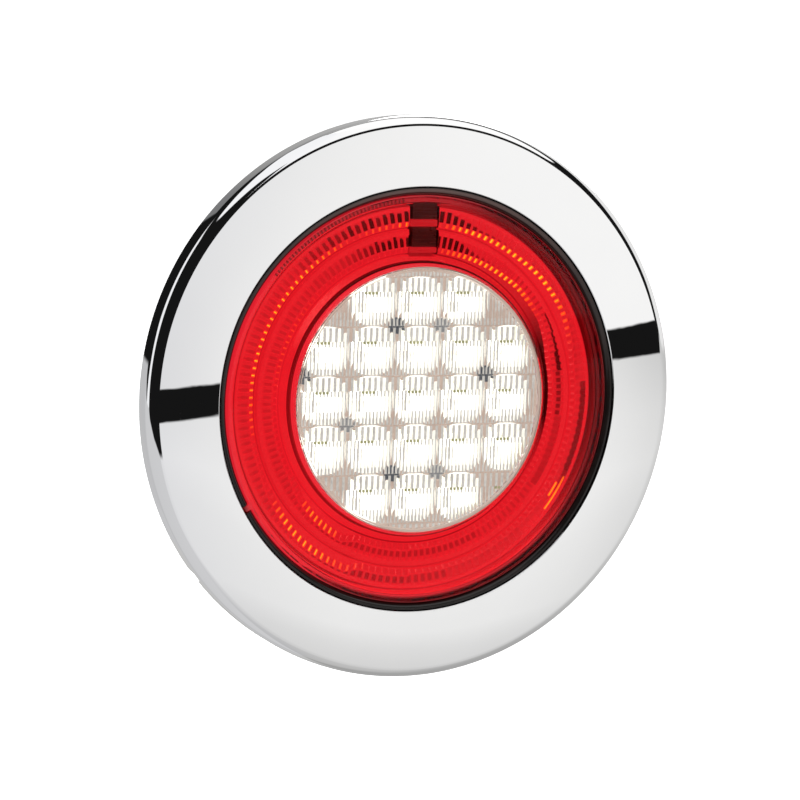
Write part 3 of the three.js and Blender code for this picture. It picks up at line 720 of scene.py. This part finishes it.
# tables of (degrees from the gap, value): how warm the facets glow, and how much further out they lie, in mm
OUTER_WARMTH = (
    (-166, 0), (-154, 0.35), (-149, 0.85), (-133, 0.9), (-127, 0.2), (-124, 0), (-104, 0), (-92, 0.55),
    (-80, 0.95), (-45, 0.9), (-33, 0.45), (-27, 0), (-24, 0), (-16, 0.3), (-12, 0.25), (-10, 0), (-9, 0.6),
    (-5, 0.6), (-4, 0), (5, 0), (8, 0.08), (11, 0.55), (16, 1), (46, 1.1), (54, 0.9), (61, 0.4),
    (68, 0.08), (74, 0),
)
INNER_WARMTH = (
    (-152, 0), (-148, 0.7), (-137, 0.7), (-131, 0), (-90, 0), (-70, 0.12), (-45, 0), (7, 0), (12, 0.35),
    (20, 0.85), (40, 1), (47, 0.6), (53, 0.12), (58, 0),
)
OUTER_SHIFT = (
    (-162, 0.5), (-158, 2.4), (-142, 2.4), (-136, 2.1), (-125, 1.2), (-112, 0), (-90, -0.1), (-80, 0),
    (15, 0), (37, 0.7), (48, 1.6), (62, 1.8), (80, 0),
)
INNER_SHIFT = (
    (-158, 0.3), (-152, 2.3), (-139, 2.1), (-130, 1.4), (-120, 0), (15, 0), (27, 0.5), (38, 1), (44, 1.5),
    (60, 1.6), (75, 0),
)
WINDOW_STEPS = (0.04, 0.16, 0.3, 0.44, 0.58, 0.72, 0.86, 0.96)
TOOTH_STEPS = (0, 0.1, 0.17, 0.21, 0.34, 0.5, 0.66, 0.79, 0.83, 0.9)


def clamp(value, low=0, high=1):
    return min(high, max(low, value))


def guide_section(inner, outer, spot, window):
    """The guide's profile as (radius, height, zone). spot and window are (from, to) radii."""
    length = window[1] - window[0]
    return [
        (inner, 2.3, "side"), (inner, 5.6, "side"), (inner + 0.15, 5.9, "rim"), (spot[0], 6, "rim"),
        (spot[0] + 0.1, 6.1, "spot"), (spot[0] + 0.45, 6.3, "spot"), (spot[1] - 0.1, 6.5, "spot"),
        (spot[1] + 0.1, 6.6, "rim"), (window[0], 6.65, "rim"),
        *[(window[0] + length * share, 6.6, "window") for share in WINDOW_STEPS],
        (window[1] + 0.02, 6.65, "rim"), (outer - 0.45, 6.55, "rim"), (outer - 0.1, 6.4, "side"),
        (outer, 6.1, "side"), (outer, 2.3, "side"),
    ]


def guide(name, node, inner, outer, spot, window, warmth_points, shift_points, shade_at):
    """A toothed light guide, with a facet that carries a spot and a dark window in every tooth."""
    stations = guide_section(inner, outer, spot, window)
    length = window[1] - window[0]
    verts, glow, warmth = [], [], []
    columns = TEETH * len(TOOTH_STEPS)
    for radius, height, zone in stations:
        along = (radius - window[0]) / length
        spot_share = (radius - spot[0]) / (spot[1] - spot[0])
        for k in range(columns):
            tooth, step = divmod(k, len(TOOTH_STEPS))
            share = TOOTH_STEPS[step]
            angle = (tooth + share) * 360 / TEETH + 90 - GAP_TURN
            across = from_gap(angle)
            # the middle of this tooth, so that every window is one even shape
            centre = from_gap((tooth + 0.5) * 360 / TEETH + 90)
            inside = 0.2 < share < 0.8
            drop, light, warm, far = 0, 1, 0, radius
            shift = follow(across, shift_points)
            if zone == "window":
                far = window[0] + shift + along * (length - shift)
                drop = 0.45 * inside
                light = (1 - shade_at(centre, along, share, inside)) * (0.98 if inside else 0.92)
            elif spot[0] <= radius <= window[0]:
                far = radius + shift - 0.6 * (across < -120) * (1 - clamp(spot_share))
            if zone == "spot":
                lobe = max(0, 1 - abs(share - 0.5) / (0.3 if centre > 0 else 0.19))
                drop = 0.3 * lobe
                warm = follow(centre, warmth_points) * lobe
                light = 0.9 + 0.1 * lobe
            if zone == "side":
                light = 0.85 if 44 < radius < 46.5 else 0.35
            if radius < 39.2:
                light = min(light, follow(across, BY_CENTRE))
            if zone == "window" and 114 < across < 131:
                drop = 0
                warm = 0.8 * (radius > 46.5 and streak_at(across, along))
            verts.append(polar(far, angle, height - drop))
            glow.append(light)
            warmth.append(warm)
    rows = [range(k, k + columns) for k in range(0, len(verts), columns)]
    ring = make(name, verts, skin(rows, closed=True), sharp=30)
    paint(ring.data, glow=glow, warmth=warmth)
    opening = box("opening", (GAP_X - 4.2, 0, inner - 3), (GAP_X + 4.2, 9, outer + 2))
    boolean(ring, [opening], sharp=30)
    place(ring, [RED_GUIDE], "red_guide", node)


def streak_at(d, along):
    """Two short bright lines round the ring, low at the right."""
    return 116 < d < 128 and abs(along - 0.86) < 0.05 or 119 < d < 124 and abs(along - 0.44) < 0.05


def outer_shade(d, along, share, inside):
    """How dark a point of the outer guide's windows is, at d degrees from the gap."""
    window = (abs(d) - 5) / 2.4 + 0.5
    if 0 < d < 40:
        reach = clamp(1.28 - 0.15 * window, 0.28)
        depth = clamp(1.5 - 0.11 * window, 0, 0.98)
        rounded_end = reach - 0.9 * (share - 0.5) ** 2 * (window > 3)
        return inside * (depth if along < rounded_end else 0.05)
    if -45 < d < 0:
        uneven = 0.5 + 0.5 * math.sin(4.1 * window)
        depth = clamp(1.42 - 0.055 * window, 0.36, 0.98) * (1 - 0.2 * uneven * (window > 3))
        narrow = 0.36 - 0.012 * window
        slant = 0.5 + 0.18 * (along - 0.5)
        wedge = abs(share - slant) < narrow * (1.15 - 0.5 * along) + 0.08 and along < 0.98 - 0.24 * uneven
        return inside * (depth if wedge else 0.12)
    if 84 < d < 136:
        dark = min(1, (d - 80) / 6) * clamp((122 - d) / 10)
        return 0.75 * dark * (along > 0.56) + 0.14 * inside * (along < 0.56)
    if d < -138:
        return inside * 0.52 * min(1, (-138 - d) / 12) * (0.15 < along < 0.75)
    if d > 165:
        return inside * 0.4 * (0.15 < along < 0.75)
    if d < -45:
        return inside * (0.26 if abs(share - 0.5) < 0.24 - 0.28 * abs(along - 0.4) else 0.05)
    return inside * (0.12 + 0.1 * (along < 0.3))


def inner_shade(d, along, share, inside):
    """The same for the inner guide."""
    window = (abs(d) - 5.5) / 2.4 + 0.5
    if 0 < d < 38:
        reach = clamp(1.45 - 0.15 * window, 0.3)
        depth = clamp(1.6 - 0.12 * window, 0.12, 0.98)
        return inside * (depth if along < reach - 0.8 * (share - 0.5) ** 2 * (window > 4) else 0.1)
    if -45 < d < 0:
        uneven = 0.5 + 0.5 * math.sin(4.1 * window)
        depth = clamp(1.45 - 0.1 * window, 0.25, 0.98)
        stroke = abs(share - 0.5) < 0.36 - 0.1 * along and along < 1 - 0.3 * uneven
        return inside * (depth if stroke else 0.12)
    if 57 < d < 80 and abs(along - 0.94 + 0.013 * (d - 57)) < 0.07 + 0.006 * (d - 57):
        return 0.93
    if 80 <= d < 95:
        return 0.62 * (0.2 + 0.8 * inside) * (0.42 < along < 0.78) + 0.1
    if d < -142 or d > 150:
        return inside * 0.42 * (0.1 < along < 0.7)
    if 95 <= d < 122:
        return 0.26 * (along > 0.3) + 0.1 * inside
    if 38 <= d < 80:
        return 0.25 * (not inside)
    return inside * (0.24 if abs(share - 0.5) < 0.24 and 0.1 < along < 0.8 else 0.05)


def light_guides():
    guide("outer_guide_toothed", "outer_light_guide", 45.65, 51.4, (45.85, 46.95), (47.15, 50.2),
          OUTER_WARMTH, OUTER_SHIFT, outer_shade)
    guide("inner_guide_toothed", "inner_light_guide", 38.75, 45.15, (39.15, 40.3), (40.5, 43.6),
          INNER_WARMTH, INNER_SHIFT, inner_shade)


def tail_reflector():
    outline = rounded([
        (36.8, 0.5), (52.6, 0.5), (52.6, 8.1, 0.1), (52.35, 8.2, 0.1), (52, 8.1, 0.1), (51.9, 6.9),
        (51.75, 5.5), (51.75, 2), (45.5, 2), (45.5, 5.2), (45.25, 5.2), (45.25, 2), (38.4, 2),
        (38.4, 6.2, 0.15), (36.9, 7.4, 0.15),
    ], 3)
    tray = lathe("tail_reflector_lit", outline, 320)
    boolean(tray, [box("room", (GAP_X - 4.1, 2, 37.6), (GAP_X + 4.1, 9, 52.3))])
    radius, angle, height, _, _ = corners_of(tray.data)
    across = from_gap(angle)
    wall = follow(across, (
        (-24, 0.95), (-4, 0.55), (12, 0.22), (28, 0.06), (88, 0.06), (104, 0.14), (120, 0.3),
        (142, 0.8), (180, 0.95)))
    crest = np.minimum(1, wall * 1.3 + 0.05)
    glow = np.where(radius > 51, np.where(height > 8, crest, wall), 1)
    glow = np.where((radius > 52.5) & (height > 7), 0.25 * wall, np.where(height < 3, 0.4, glow))
    glow = np.where((radius > 45) & (radius < 46), 0.6, glow)
    glow = np.where((radius < 38.6) & (height > 3), follow(across, BY_CENTRE), glow)
    paint(tray.data, glow=glow, warmth=0)
    place(tray, [RED_TRAY], "red_tray", "tail_reflector")


def guide_clip():
    """The black block in the opening. Two red bars of the reflector cross it."""
    clip = box("guide_clip_block", (-3.5, 2.3, 40.4), (3.5, 6.7, 45.6), 0.15)
    blocks = [box("block", (-3.5, 2.3, 47.7), (3.5, 6.7, 52.3), 0.15),
              box("block", (-3.75, 2.3, 38.6), (3.75, 3.4, 52.3), 0.1)]
    for low, high in ((40.4, 45.6), (47.7, 52.3)):
        for k in range(1, 5):
            z = low + (high - low) * k / 5
            blocks.append(box("rib", (-3.4, 6.2, z - 0.16), (3.4, 6.95, z + 0.16), 0.06))
    boolean(clip, blocks, "UNION")
    place(moved(clip, GAP_X), [CLIP_BLACK], "black_gloss", "guide_clip")
    bars = joined("reflector_bars", [
        box("bar", (-3.9, 3.5, 45.75), (3.9, 6.3, 47.55), 0.2),
        box("bar", (-3.9, 3.5, 38.8), (3.9, 6.3, 40.25), 0.2),
    ])
    paint(bars.data, glow=0.62, warmth=0)
    place(moved(bars, GAP_X), [RED_TRAY], "red_tray")


# --- white centre lamp

# the cups stand in rows of a square grid; the sockets lie between them, counted in cells from the middle
LED_ROWS = (3, 5, 5, 5, 3)
CUP_PLACES = [
    ((column - (count - 1) / 2) * PITCH, (2 - row) * PITCH)
    for row, count in enumerate(LED_ROWS) for column in range(count)
]
SOCKETS = ((-0.5, -1.5), (1.5, -0.5), (-2.5, -0.5), (-0.5, 1.5))
FAINT_SOCKETS = ((0.5, -1.5), (0.5, 1.5), (-1.5, 0.5))
TRAY_TOP = 7.6


def cup_cutter(x, z):
    """A flared cup, round at its foot and squarer at its mouth."""
    depths = (-8.5, -7.2, -6, -4.8, -3.6, -2.4, -1.2, 0, 1.1, 2.2, 3.2, 4.1, 4.9, 5.6, 6.3, 7, 7.55, 9)
    reach = follow(depths, ((-8.5, 2.7), (-5, 3.6), (0, 4.9), (4, 5.75), (7.6, 6.42), (9, 6.5)))

    def squarer(radius, height, angle):
        power = 2 + 0.65 * clamp((height + 8.5) / 12)
        norm = (abs(math.cos(angle)) ** power + abs(math.sin(angle)) ** power) ** (-1 / power)
        return (radius * (norm - 1), 0)

    cup = lathe("cup", [(0, depths[0]), *zip(reach, depths), (0, depths[-1])], 96, wave=squarer)
    return moved(cup, x, z)


def optic_tray():
    body = lathe("optic_tray_cups", rounded([
        (0, -7.1), (35.2, -7.1), (35.2, 9.2, 0.1), (34.5, 9.3, 0.1), (34.3, 7.7, 0.2), (0, TRAY_TOP)],
        2), 200)
    for x, z in CUP_PLACES:
        cutter = cup_cutter(x, z)
        if math.hypot(x, z) > 26:
            boolean(cutter, [rod("edge", 34.2, -9.5, 10, 200)], "INTERSECT")
        boolean(body, [cutter])
    for i, j in (*SOCKETS, *FAINT_SOCKETS):
        boolean(body, [moved(rod("socket", 2.3, 4, 9, 32), i * PITCH, -j * PITCH)])
    _, _, s, x, z = faces_of(body.data)
    nearest = np.min([np.hypot(x - cx, z - cz) for cx, cz in CUP_PLACES], axis=0)
    inside = (s < TRAY_TOP - 0.1) & (nearest < 7) & (s > -7.05)

    # painted light: the far wall of a cup glows brightest half way down; its mouth and its left side glow
    # greyer, and a short dash above the middle glows a dim olive
    _, _, s, x, z = corners_of(body.data)
    which = np.argmin([np.hypot(x - cx, z - cz) for cx, cz in CUP_PLACES], axis=0)
    centres = np.array(CUP_PLACES)
    depth = TRAY_TOP - s
    across = x - centres[which, 0] - 0.42 * depth
    above = z - centres[which, 1] + 0.13 * depth
    core = np.exp(-(np.abs((across - 0.6) / 3.6) ** 4 + np.abs((above + 0.9) / 3.6) ** 4))
    streak = 0.6 * bump(across, -5.6, 0.6) * (np.abs(above) < 3.2)
    olive = bump(across, -1.6, 2) * bump(above, 2.6, 0.45)
    warmth = np.clip(0.42 + 0.6 * core + streak - 0.6 * olive - 0.12 * (across < -3.2) * (1 - core), 0, 1)
    land = s > TRAY_TOP - 0.03
    paint(body.data, warmth=np.where(land, 0, warmth), glow=np.where(land, 1, 1 - 0.5 * olive))
    place(body, [PALE_TRAY, CUP_LIGHT], "pale_tray", "optic_tray", choice=inside)
    # the pins glow with painted light from their materials
    for name, spots, reach, look in (("tray_pins", SOCKETS, 2.2, SOCKET_GREY_GLOW),
                                     ("tray_pins_pale_glow", FAINT_SOCKETS, 1.9, SOCKET_PALE_GLOW)):
        pins = [moved(rod("pin", reach, 4.1, 8.1, 32, 0.3), i * PITCH, -j * PITCH) for i, j in spots]
        place(joined(name, pins), [look], "pale_tray")


def divider_ring():
    ring = lathe("divider_wall", [
        (35.6, -7.1), (36.4, -7.1), (36.5, -7), (36.5, 7.9), (36.72, 8.15), (36.75, 8.5), (36.7, 8.56),
        (36.5, 8.58), (36.3, 8.56), (36.15, 8.54), (35.85, 8.42), (35.6, 8.3)], 256)
    radius, angle, height, _, _ = corners_of(ring.data)
    lit = follow(from_gap(angle), (
        (-180, 0.75), (-110, 0.8), (-70, 0.5), (-30, 0.06), (120, 0.05), (150, 0.5), (180, 0.75)))
    middle = bump(radius, 36.4, 0.16) * (height > 8)
    paint(ring.data, glow=0.03 + lit * (0.35 + 0.65 * middle) * (height > 7.5), warmth=0)
    place(ring, [DIVIDER], "black_gloss", "divider_ring")


# --- fasteners, gland and vent

def screw_thread(name, core, crest, low, high, pitch, tip):
    """A threaded shank that tapers to a point, with the thread as a ridge winding round it."""
    sides, steps = 28, int((high - low) / pitch * 8)
    verts = [(0, -low, 0)]
    for height in np.linspace(low + 0.02, high, steps + 1):
        grow = min(1, (height - low) / tip)
        fade = clamp((high - 0.6 - height) / 0.6)
        for k in range(sides):
            turn = (height / pitch - k / sides) % 1
            ridge = max(0, 1 - abs(turn - 0.5) / 0.28)
            verts.append(polar((core + (crest - core) * ridge * fade) * grow, 360 * k / sides, height))
    rows = [range(k, k + sides) for k in range(1, len(verts), sides)]
    return make(name, verts, [*skin([[0], *rows]), rows[-1]])


def mounting_screws():
    for number, angle in enumerate(SCREW_ANGLES, 1):
        head = lathe(f"mounting_screw_threaded_{number}", rounded([
            (0, 4.9), (4, 5.1, 0.15), (4, 5.9, 0.5), (3.2, 6.95, 0.8), (1.4, 7.2, 0.3), (0, 7.2)]), 48)
        boolean(head, [screw_thread("shank", 1.45, 2, -11, 5.3, 1.4, 3)], "UNION")
        recess = [moved(box("slot", (-2.1, 5.7, -0.42), (2.1, 8, 0.42), 0.1), turn=turn + 20 * number)
                  for turn in (0, 90)]
        boolean(head, recess)
        place(on_circle(head, SCREW_CIRCLE, angle), [ZINC], "zinc_steel", f"mounting_screw_{number}")


def cable_gland():
    """The body with its threaded shank, the cap with its grip, the rubber bush and the nut inside the cup."""
    def thread(radius, height, angle):
        return (0.22 * math.sin(TAU * height / 1.5 - angle) * (5 < radius and height > -26), 0)

    def grip(radius, height, angle):
        flats = 0.42 * max(0, math.cos(6 * angle)) ** 8
        return (-(flats + 0.22 * (math.cos(36 * angle) > 0.3)) * (radius > 8), 0)

    nut = hexagon("cable_gland_body", 9, -28.9, -26.3)
    neck = lathe("neck", rounded([(3.6, -33), (6, -33, 0.3), (6, -28.4), (3.6, -28.4)]), 64)
    shank = lathe("shank", rounded([(3.6, -28.4), (5.8, -28.4), (5.8, -20.3, 0.4), (3.6, -20.3, 0.2)]), 64,
                  wave=thread)
    boolean(nut, [neck, shank], "UNION")
    boolean(nut, [rod("bore", 3.6, -35, -18, 48), rod("seat", 5.3, -34, -28.6, 48)])
    place(moved(nut, *GLAND), [MOULDED], "black_housing", "cable_gland")

    cap = lathe("gland_cap_dome", rounded([
        (3.6, -37.1, 0.3), (5.4, -37.1, 0.5), (6.8, -36.2, 0.8), (7.8, -33.9, 0.6), (8.55, -33.3, 0.3),
        (8.75, -29.4, 0.4), (6.4, -29.2, 0.2), (6.4, -33.3), (3.6, -33.4)]), 144, wave=grip)
    place(moved(cap, *GLAND), [MOULDED], "black_housing", "gland_cap")

    seal = lathe("gland_seal_bush", rounded([
        (3.3, -34.3, 0.3), (3.55, -34.5, 0.2), (4.9, -33.15, 0.2), (5, -29, 0.2), (3.3, -29, 0.2)], 3), 48)
    place(moved(seal, *GLAND), [RUBBER], "seal_rubber", "gland_seal")

    locknut = hexagon("gland_locknut_hex", 8.4, -23.2, -20.8)
    boolean(locknut, [rod("bore", 6.1, -24, -20, 48)])
    place(moved(locknut, *GLAND), [MOULDED], "black_housing", "gland_locknut")


def breather_vent():
    cap = lathe("breather_vent_cap", rounded([
        (0, -28.3), (4.2, -28.3, 0.5), (5, -27.6, 0.4), (5, -26.3, 0.2), (2.2, -26.3, 0.2),
        (2.2, -23, 0.4), (0, -23)], 3), 64)
    slots = [moved(box("slot", (3.4, -27.4, -0.5), (6, -26.7, 0.5), 0.1), turn=45 * k) for k in range(8)]
    boolean(cap, [*slots, rod("dimple", 1.6, -29, -27.95, 32)])
    place(moved(cap, *VENT), [MOULDED], "black_housing", "breather_vent")


# --- pieces kept from the CAD model

def keep(piece, look):
    """A piece with its CAD shape, its edges broken."""
    dress(piece, [look])
    piece.data.shade_smooth()
    piece.data.set_sharp_from_angle(angle=math.radians(30))
    edge = piece.modifiers.new("edge", "BEVEL")
    edge.width = 0.12 * MM
    edge.segments = 2
    edge.limit_method = "ANGLE"
    edge.angle_limit = math.radians(35)


def inner_parts():
    white_leds = [f"white_led_{k:02d}" for k in range(1, 22)]
    red_leds = [f"red_led_{k:02d}" for k in range(1, 9)]
    for name in (*white_leds, *red_leds):
        paint(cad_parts[name].data, glow=1, warmth=0.6)
    for look, names in (
        (WHITE_LED, white_leds), (RED_LED, red_leds), (ZINC, [f"board_screw_{k}" for k in (1, 2, 3)]),
        (BOARD_WHITE, ["main_board"]), (BOARD_GREEN, ["driver_board"]), (ALUMINIUM, ["heat_spreader"]),
        (CAN, ["input_capacitor"]), (RESIN, ["power_inductor", "regulator", "protection_diode"]),
        (TERMINAL, ["wire_terminal"]), (RUBBER, ["lens_seal"]),
    ):
        for name in names:
            keep(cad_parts[name], look)


# --- studio

def studio_light():
    """A tall bright panel in front, black panels beside it, a pale table below and a dark gap between."""
    world = bpy.data.worlds.new("studio")
    bpy.context.scene.world = world
    world.use_nodes = True
    s = Shader(world.node_tree)
    parts = s.node("SeparateXYZ", {0: s.node("TexCoord").outputs["Generated"]})
    x, y, z = (Value(s, parts.outputs[k]) for k in range(3))
    across = x.do("ARCTAN2", y * -1) * math.degrees(1)
    up = z.do("ARCSINE") * math.degrees(1)

    def oval(middle_across, middle_up, wide, tall):
        return ((across - middle_across) / wide).power(2) + ((up - middle_up) / tall).power(2)

    table_light = s.table(up, (
        (-75, 0.5), (-48, 0.55), (-33, 0.69), (-28, 0.77), (-24, 0.87), (-20, 0.88), (-16, 0.89),
        (-12, 0.93), (-8, 0.88), (-3, 0.76)))
    sides = s.table(across, (
        (-8, 0.85), (7, 0.93), (20, 1), (33, 0.99), (40, 0.94), (48, 0.86), (60, 0.78), (100, 0.72)))
    low_down = up.span(-25, -45) * across.span(30, 15)
    table_light = table_light * (sides + (sides.flipped() * low_down))
    panel_light = across.span(-8, 34, 0.8, 0.97) - across.span(16, -6) * up.span(12, -4) * 0.04
    gap_top = s.table(across, (
        (-6, -5.6), (4, -5.59), (10, -5.76), (23, -4.8), (36, -2.82), (38.6, -2.25), (42, -1.53),
        (45.5, -0.86), (49, -0.3), (53, 0.3)))
    gap_low = s.table(across, (
        (-13, -5.7), (-10, -9.5), (-2.7, -8.81), (4.4, -8.18), (10.1, -7.72), (37.7, -4.4), (46.3, -3.42),
        (52, -2.9), (58, 0.3)))
    above = (up - gap_top).span(-0.12, 0.12)
    below = (gap_low - up).span(-0.12, 0.12)
    front = table_light * below + panel_light * above
    beside = across.span(-12, -22) * up.span(8, 4)
    low_left = s.table(across, ((-174, 0.56), (-164, 0.52), (-140, 0.62), (-20, 0.64)))
    front = front.covered(beside, low_left)

    # beyond the panel's rim: a dark gap, then the ceiling, with a black screen to the right of both
    ring = oval(23, -6.4, 28.8, 27.3).power(0.5)
    upper = up.span(-1.5, 0.5)
    front = front * (ring.span(1, 1.015) * upper).flipped()
    ceiling = ring.span(1.42, 1.5) * across.span(-10, 30, 0.98, 1.08)
    screen_top = s.table(across, (
        (44, 24), (56, 28), (64, 31.5), (72, 39), (83, 48), (95, 58), (112, 65)))
    ceiling = ceiling * (across.span(42, 46) * (screen_top - up).span(-0.5, 0.5)).flipped()
    screen_side = s.table(up, (
        (0, 62), (8, 72), (20, 74), (30, 82), (40, 92), (50, 112), (56, 126), (60, 150)))
    right = (across - screen_side).span(-1, 1) * up.span(60, 56)
    front = front + ceiling.covered(right, 0.84) * upper

    # black screens along the left, with one bright strip between them
    left_top = s.table(across, (
        (-174, 44), (-150, 54), (-129, 57), (-103, 54.5), (-85, 49.5), (-61, 46.5), (-20, 44), (-6, 40)))
    left_low = s.table(across, (
        (-174, 1), (-163, -1), (-148, -3), (-130, -6.4), (-93, -8.5), (-83, -11.6), (-50, -15.4),
        (-24, -15.6), (-14, -14.2), (-5, -12.5)))
    left = across.span(-4.8, -5.6) * across.span(-174.5, -173.5)
    left = left * (left_top - up).span(-1, 1) * (up - left_low).span(-0.5, 0.5)
    strip_from = s.table(up, ((-7, -124), (4, -121), (9, -125), (13, -132), (33, -135)))
    strip_to = s.table(up, ((-6, -93), (5, -95), (17, -99), (28, -103), (41, -107)))
    strip = (across - strip_from).span(-1.5, 1.5) * (strip_to - across).span(-1.5, 1.5) * up.span(42, 39)
    front = front.covered(left, strip * 0.95)

    # the room behind: brighter low down, and brighter to the right
    round_back = across + (across * -1).span(90, 91) * 360
    behind = across.span(149, 152) + across.span(-173, -174)
    room = s.table(round_back, ((150, 0.45), (160, 0.46), (173, 0.34), (182, 0.21), (187, 0.18)))
    floor_light = s.table(round_back, ((150, 0.38), (160, 0.4), (171, 0.53), (187, 0.58)))
    rear_light = room * up.span(0, 1.5) + floor_light * up.span(1.5, 0)
    front = front.covered(behind * up.span(58, 52), rear_light)

    # a small black flag keeps the lenses free of the panel's glare, and a little light is everywhere
    flag = oval(23, -6.6, 7, 6.5).span(1.25, 0.8)
    s.finish("Background", Color=s.mix(across.span(20, -10), (1, 0.995, 0.985), (0.985, 0.985, 1)),
             Strength=front * flag.flipped() + 0.008)


def paper(name):
    made, s = material(name)
    s.finish("BsdfPrincipled", Base_Color=s.mix(s.noise(3, 2), (0.9, 0.9, 0.9), (0.93, 0.93, 0.93)),
             Roughness=0.9, Specular_IOR_Level=0, Emission_Color=(1, 1, 1, 1), Emission_Strength=0.75)
    return made


def studio_set():
    """A pale floor and a pale sweep all round, which only the camera sees."""
    floor = make("studio_floor", [(-3000, -3000, -300), (3000, -3000, -300), (3000, 3000, -300),
                                  (-3000, 3000, -300)], [[0, 1, 2, 3]])
    arc = [(3000 * math.sin(a), 3000 * math.cos(a)) for a in np.linspace(0.05, math.pi - 0.05, 24)]
    sweep = lathe("studio_sweep", [(0, 2990), *arc, (0, -2990)], 64)
    for piece in (floor, sweep):
        dress(piece, [paper(piece.name + "_paper")])
        for ray in ("glossy", "diffuse", "transmission", "shadow"):
            setattr(piece, "visible_" + ray, False)

    for name, spot, size, power in (
        ("key_light", (-1.1, -1.2, 1.3), 1, 16),
        ("rear_light", (1.2, 1.6, 1.2), 1.2, 14),
    ):
        lamp = bpy.data.lights.new(name, "AREA")
        lamp.size = size
        lamp.energy = power
        holder = add(name, lamp)
        holder.location = spot
        holder.rotation_euler = (-Vector(spot)).to_track_quat("-Z", "Y").to_euler()
        holder.visible_glossy = name == "rear_light"


def camera():
    data = bpy.data.cameras.new("camera")
    data.lens = 161.8
    data.sensor_width = 36
    data.clip_start = 0.05
    data.clip_end = 20
    forward = Vector((0.3896, 0.9132, -0.1197)).normalized()
    up = Vector((0.9208, -0.3886, 0.033)).cross(forward).normalized()
    turn = Matrix((forward.cross(up).normalized(), up, -forward)).transposed()
    holder = add("camera", data)
    holder.matrix_world = Matrix.Translation((-0.3756, -0.8772, 0.1138)) @ turn.to_4x4()
    bpy.context.scene.camera = holder


# --- build

camera()
studio_light()
studio_set()
bpy.context.scene.view_settings.view_transform = "Standard"

chrome_bezel()
housing()
panel_gasket()
red_lens()
clear_lens()
light_guides()
tail_reflector()
guide_clip()
optic_tray()
divider_ring()
mounting_screws()
cable_gland()
breather_vent()
inner_parts()
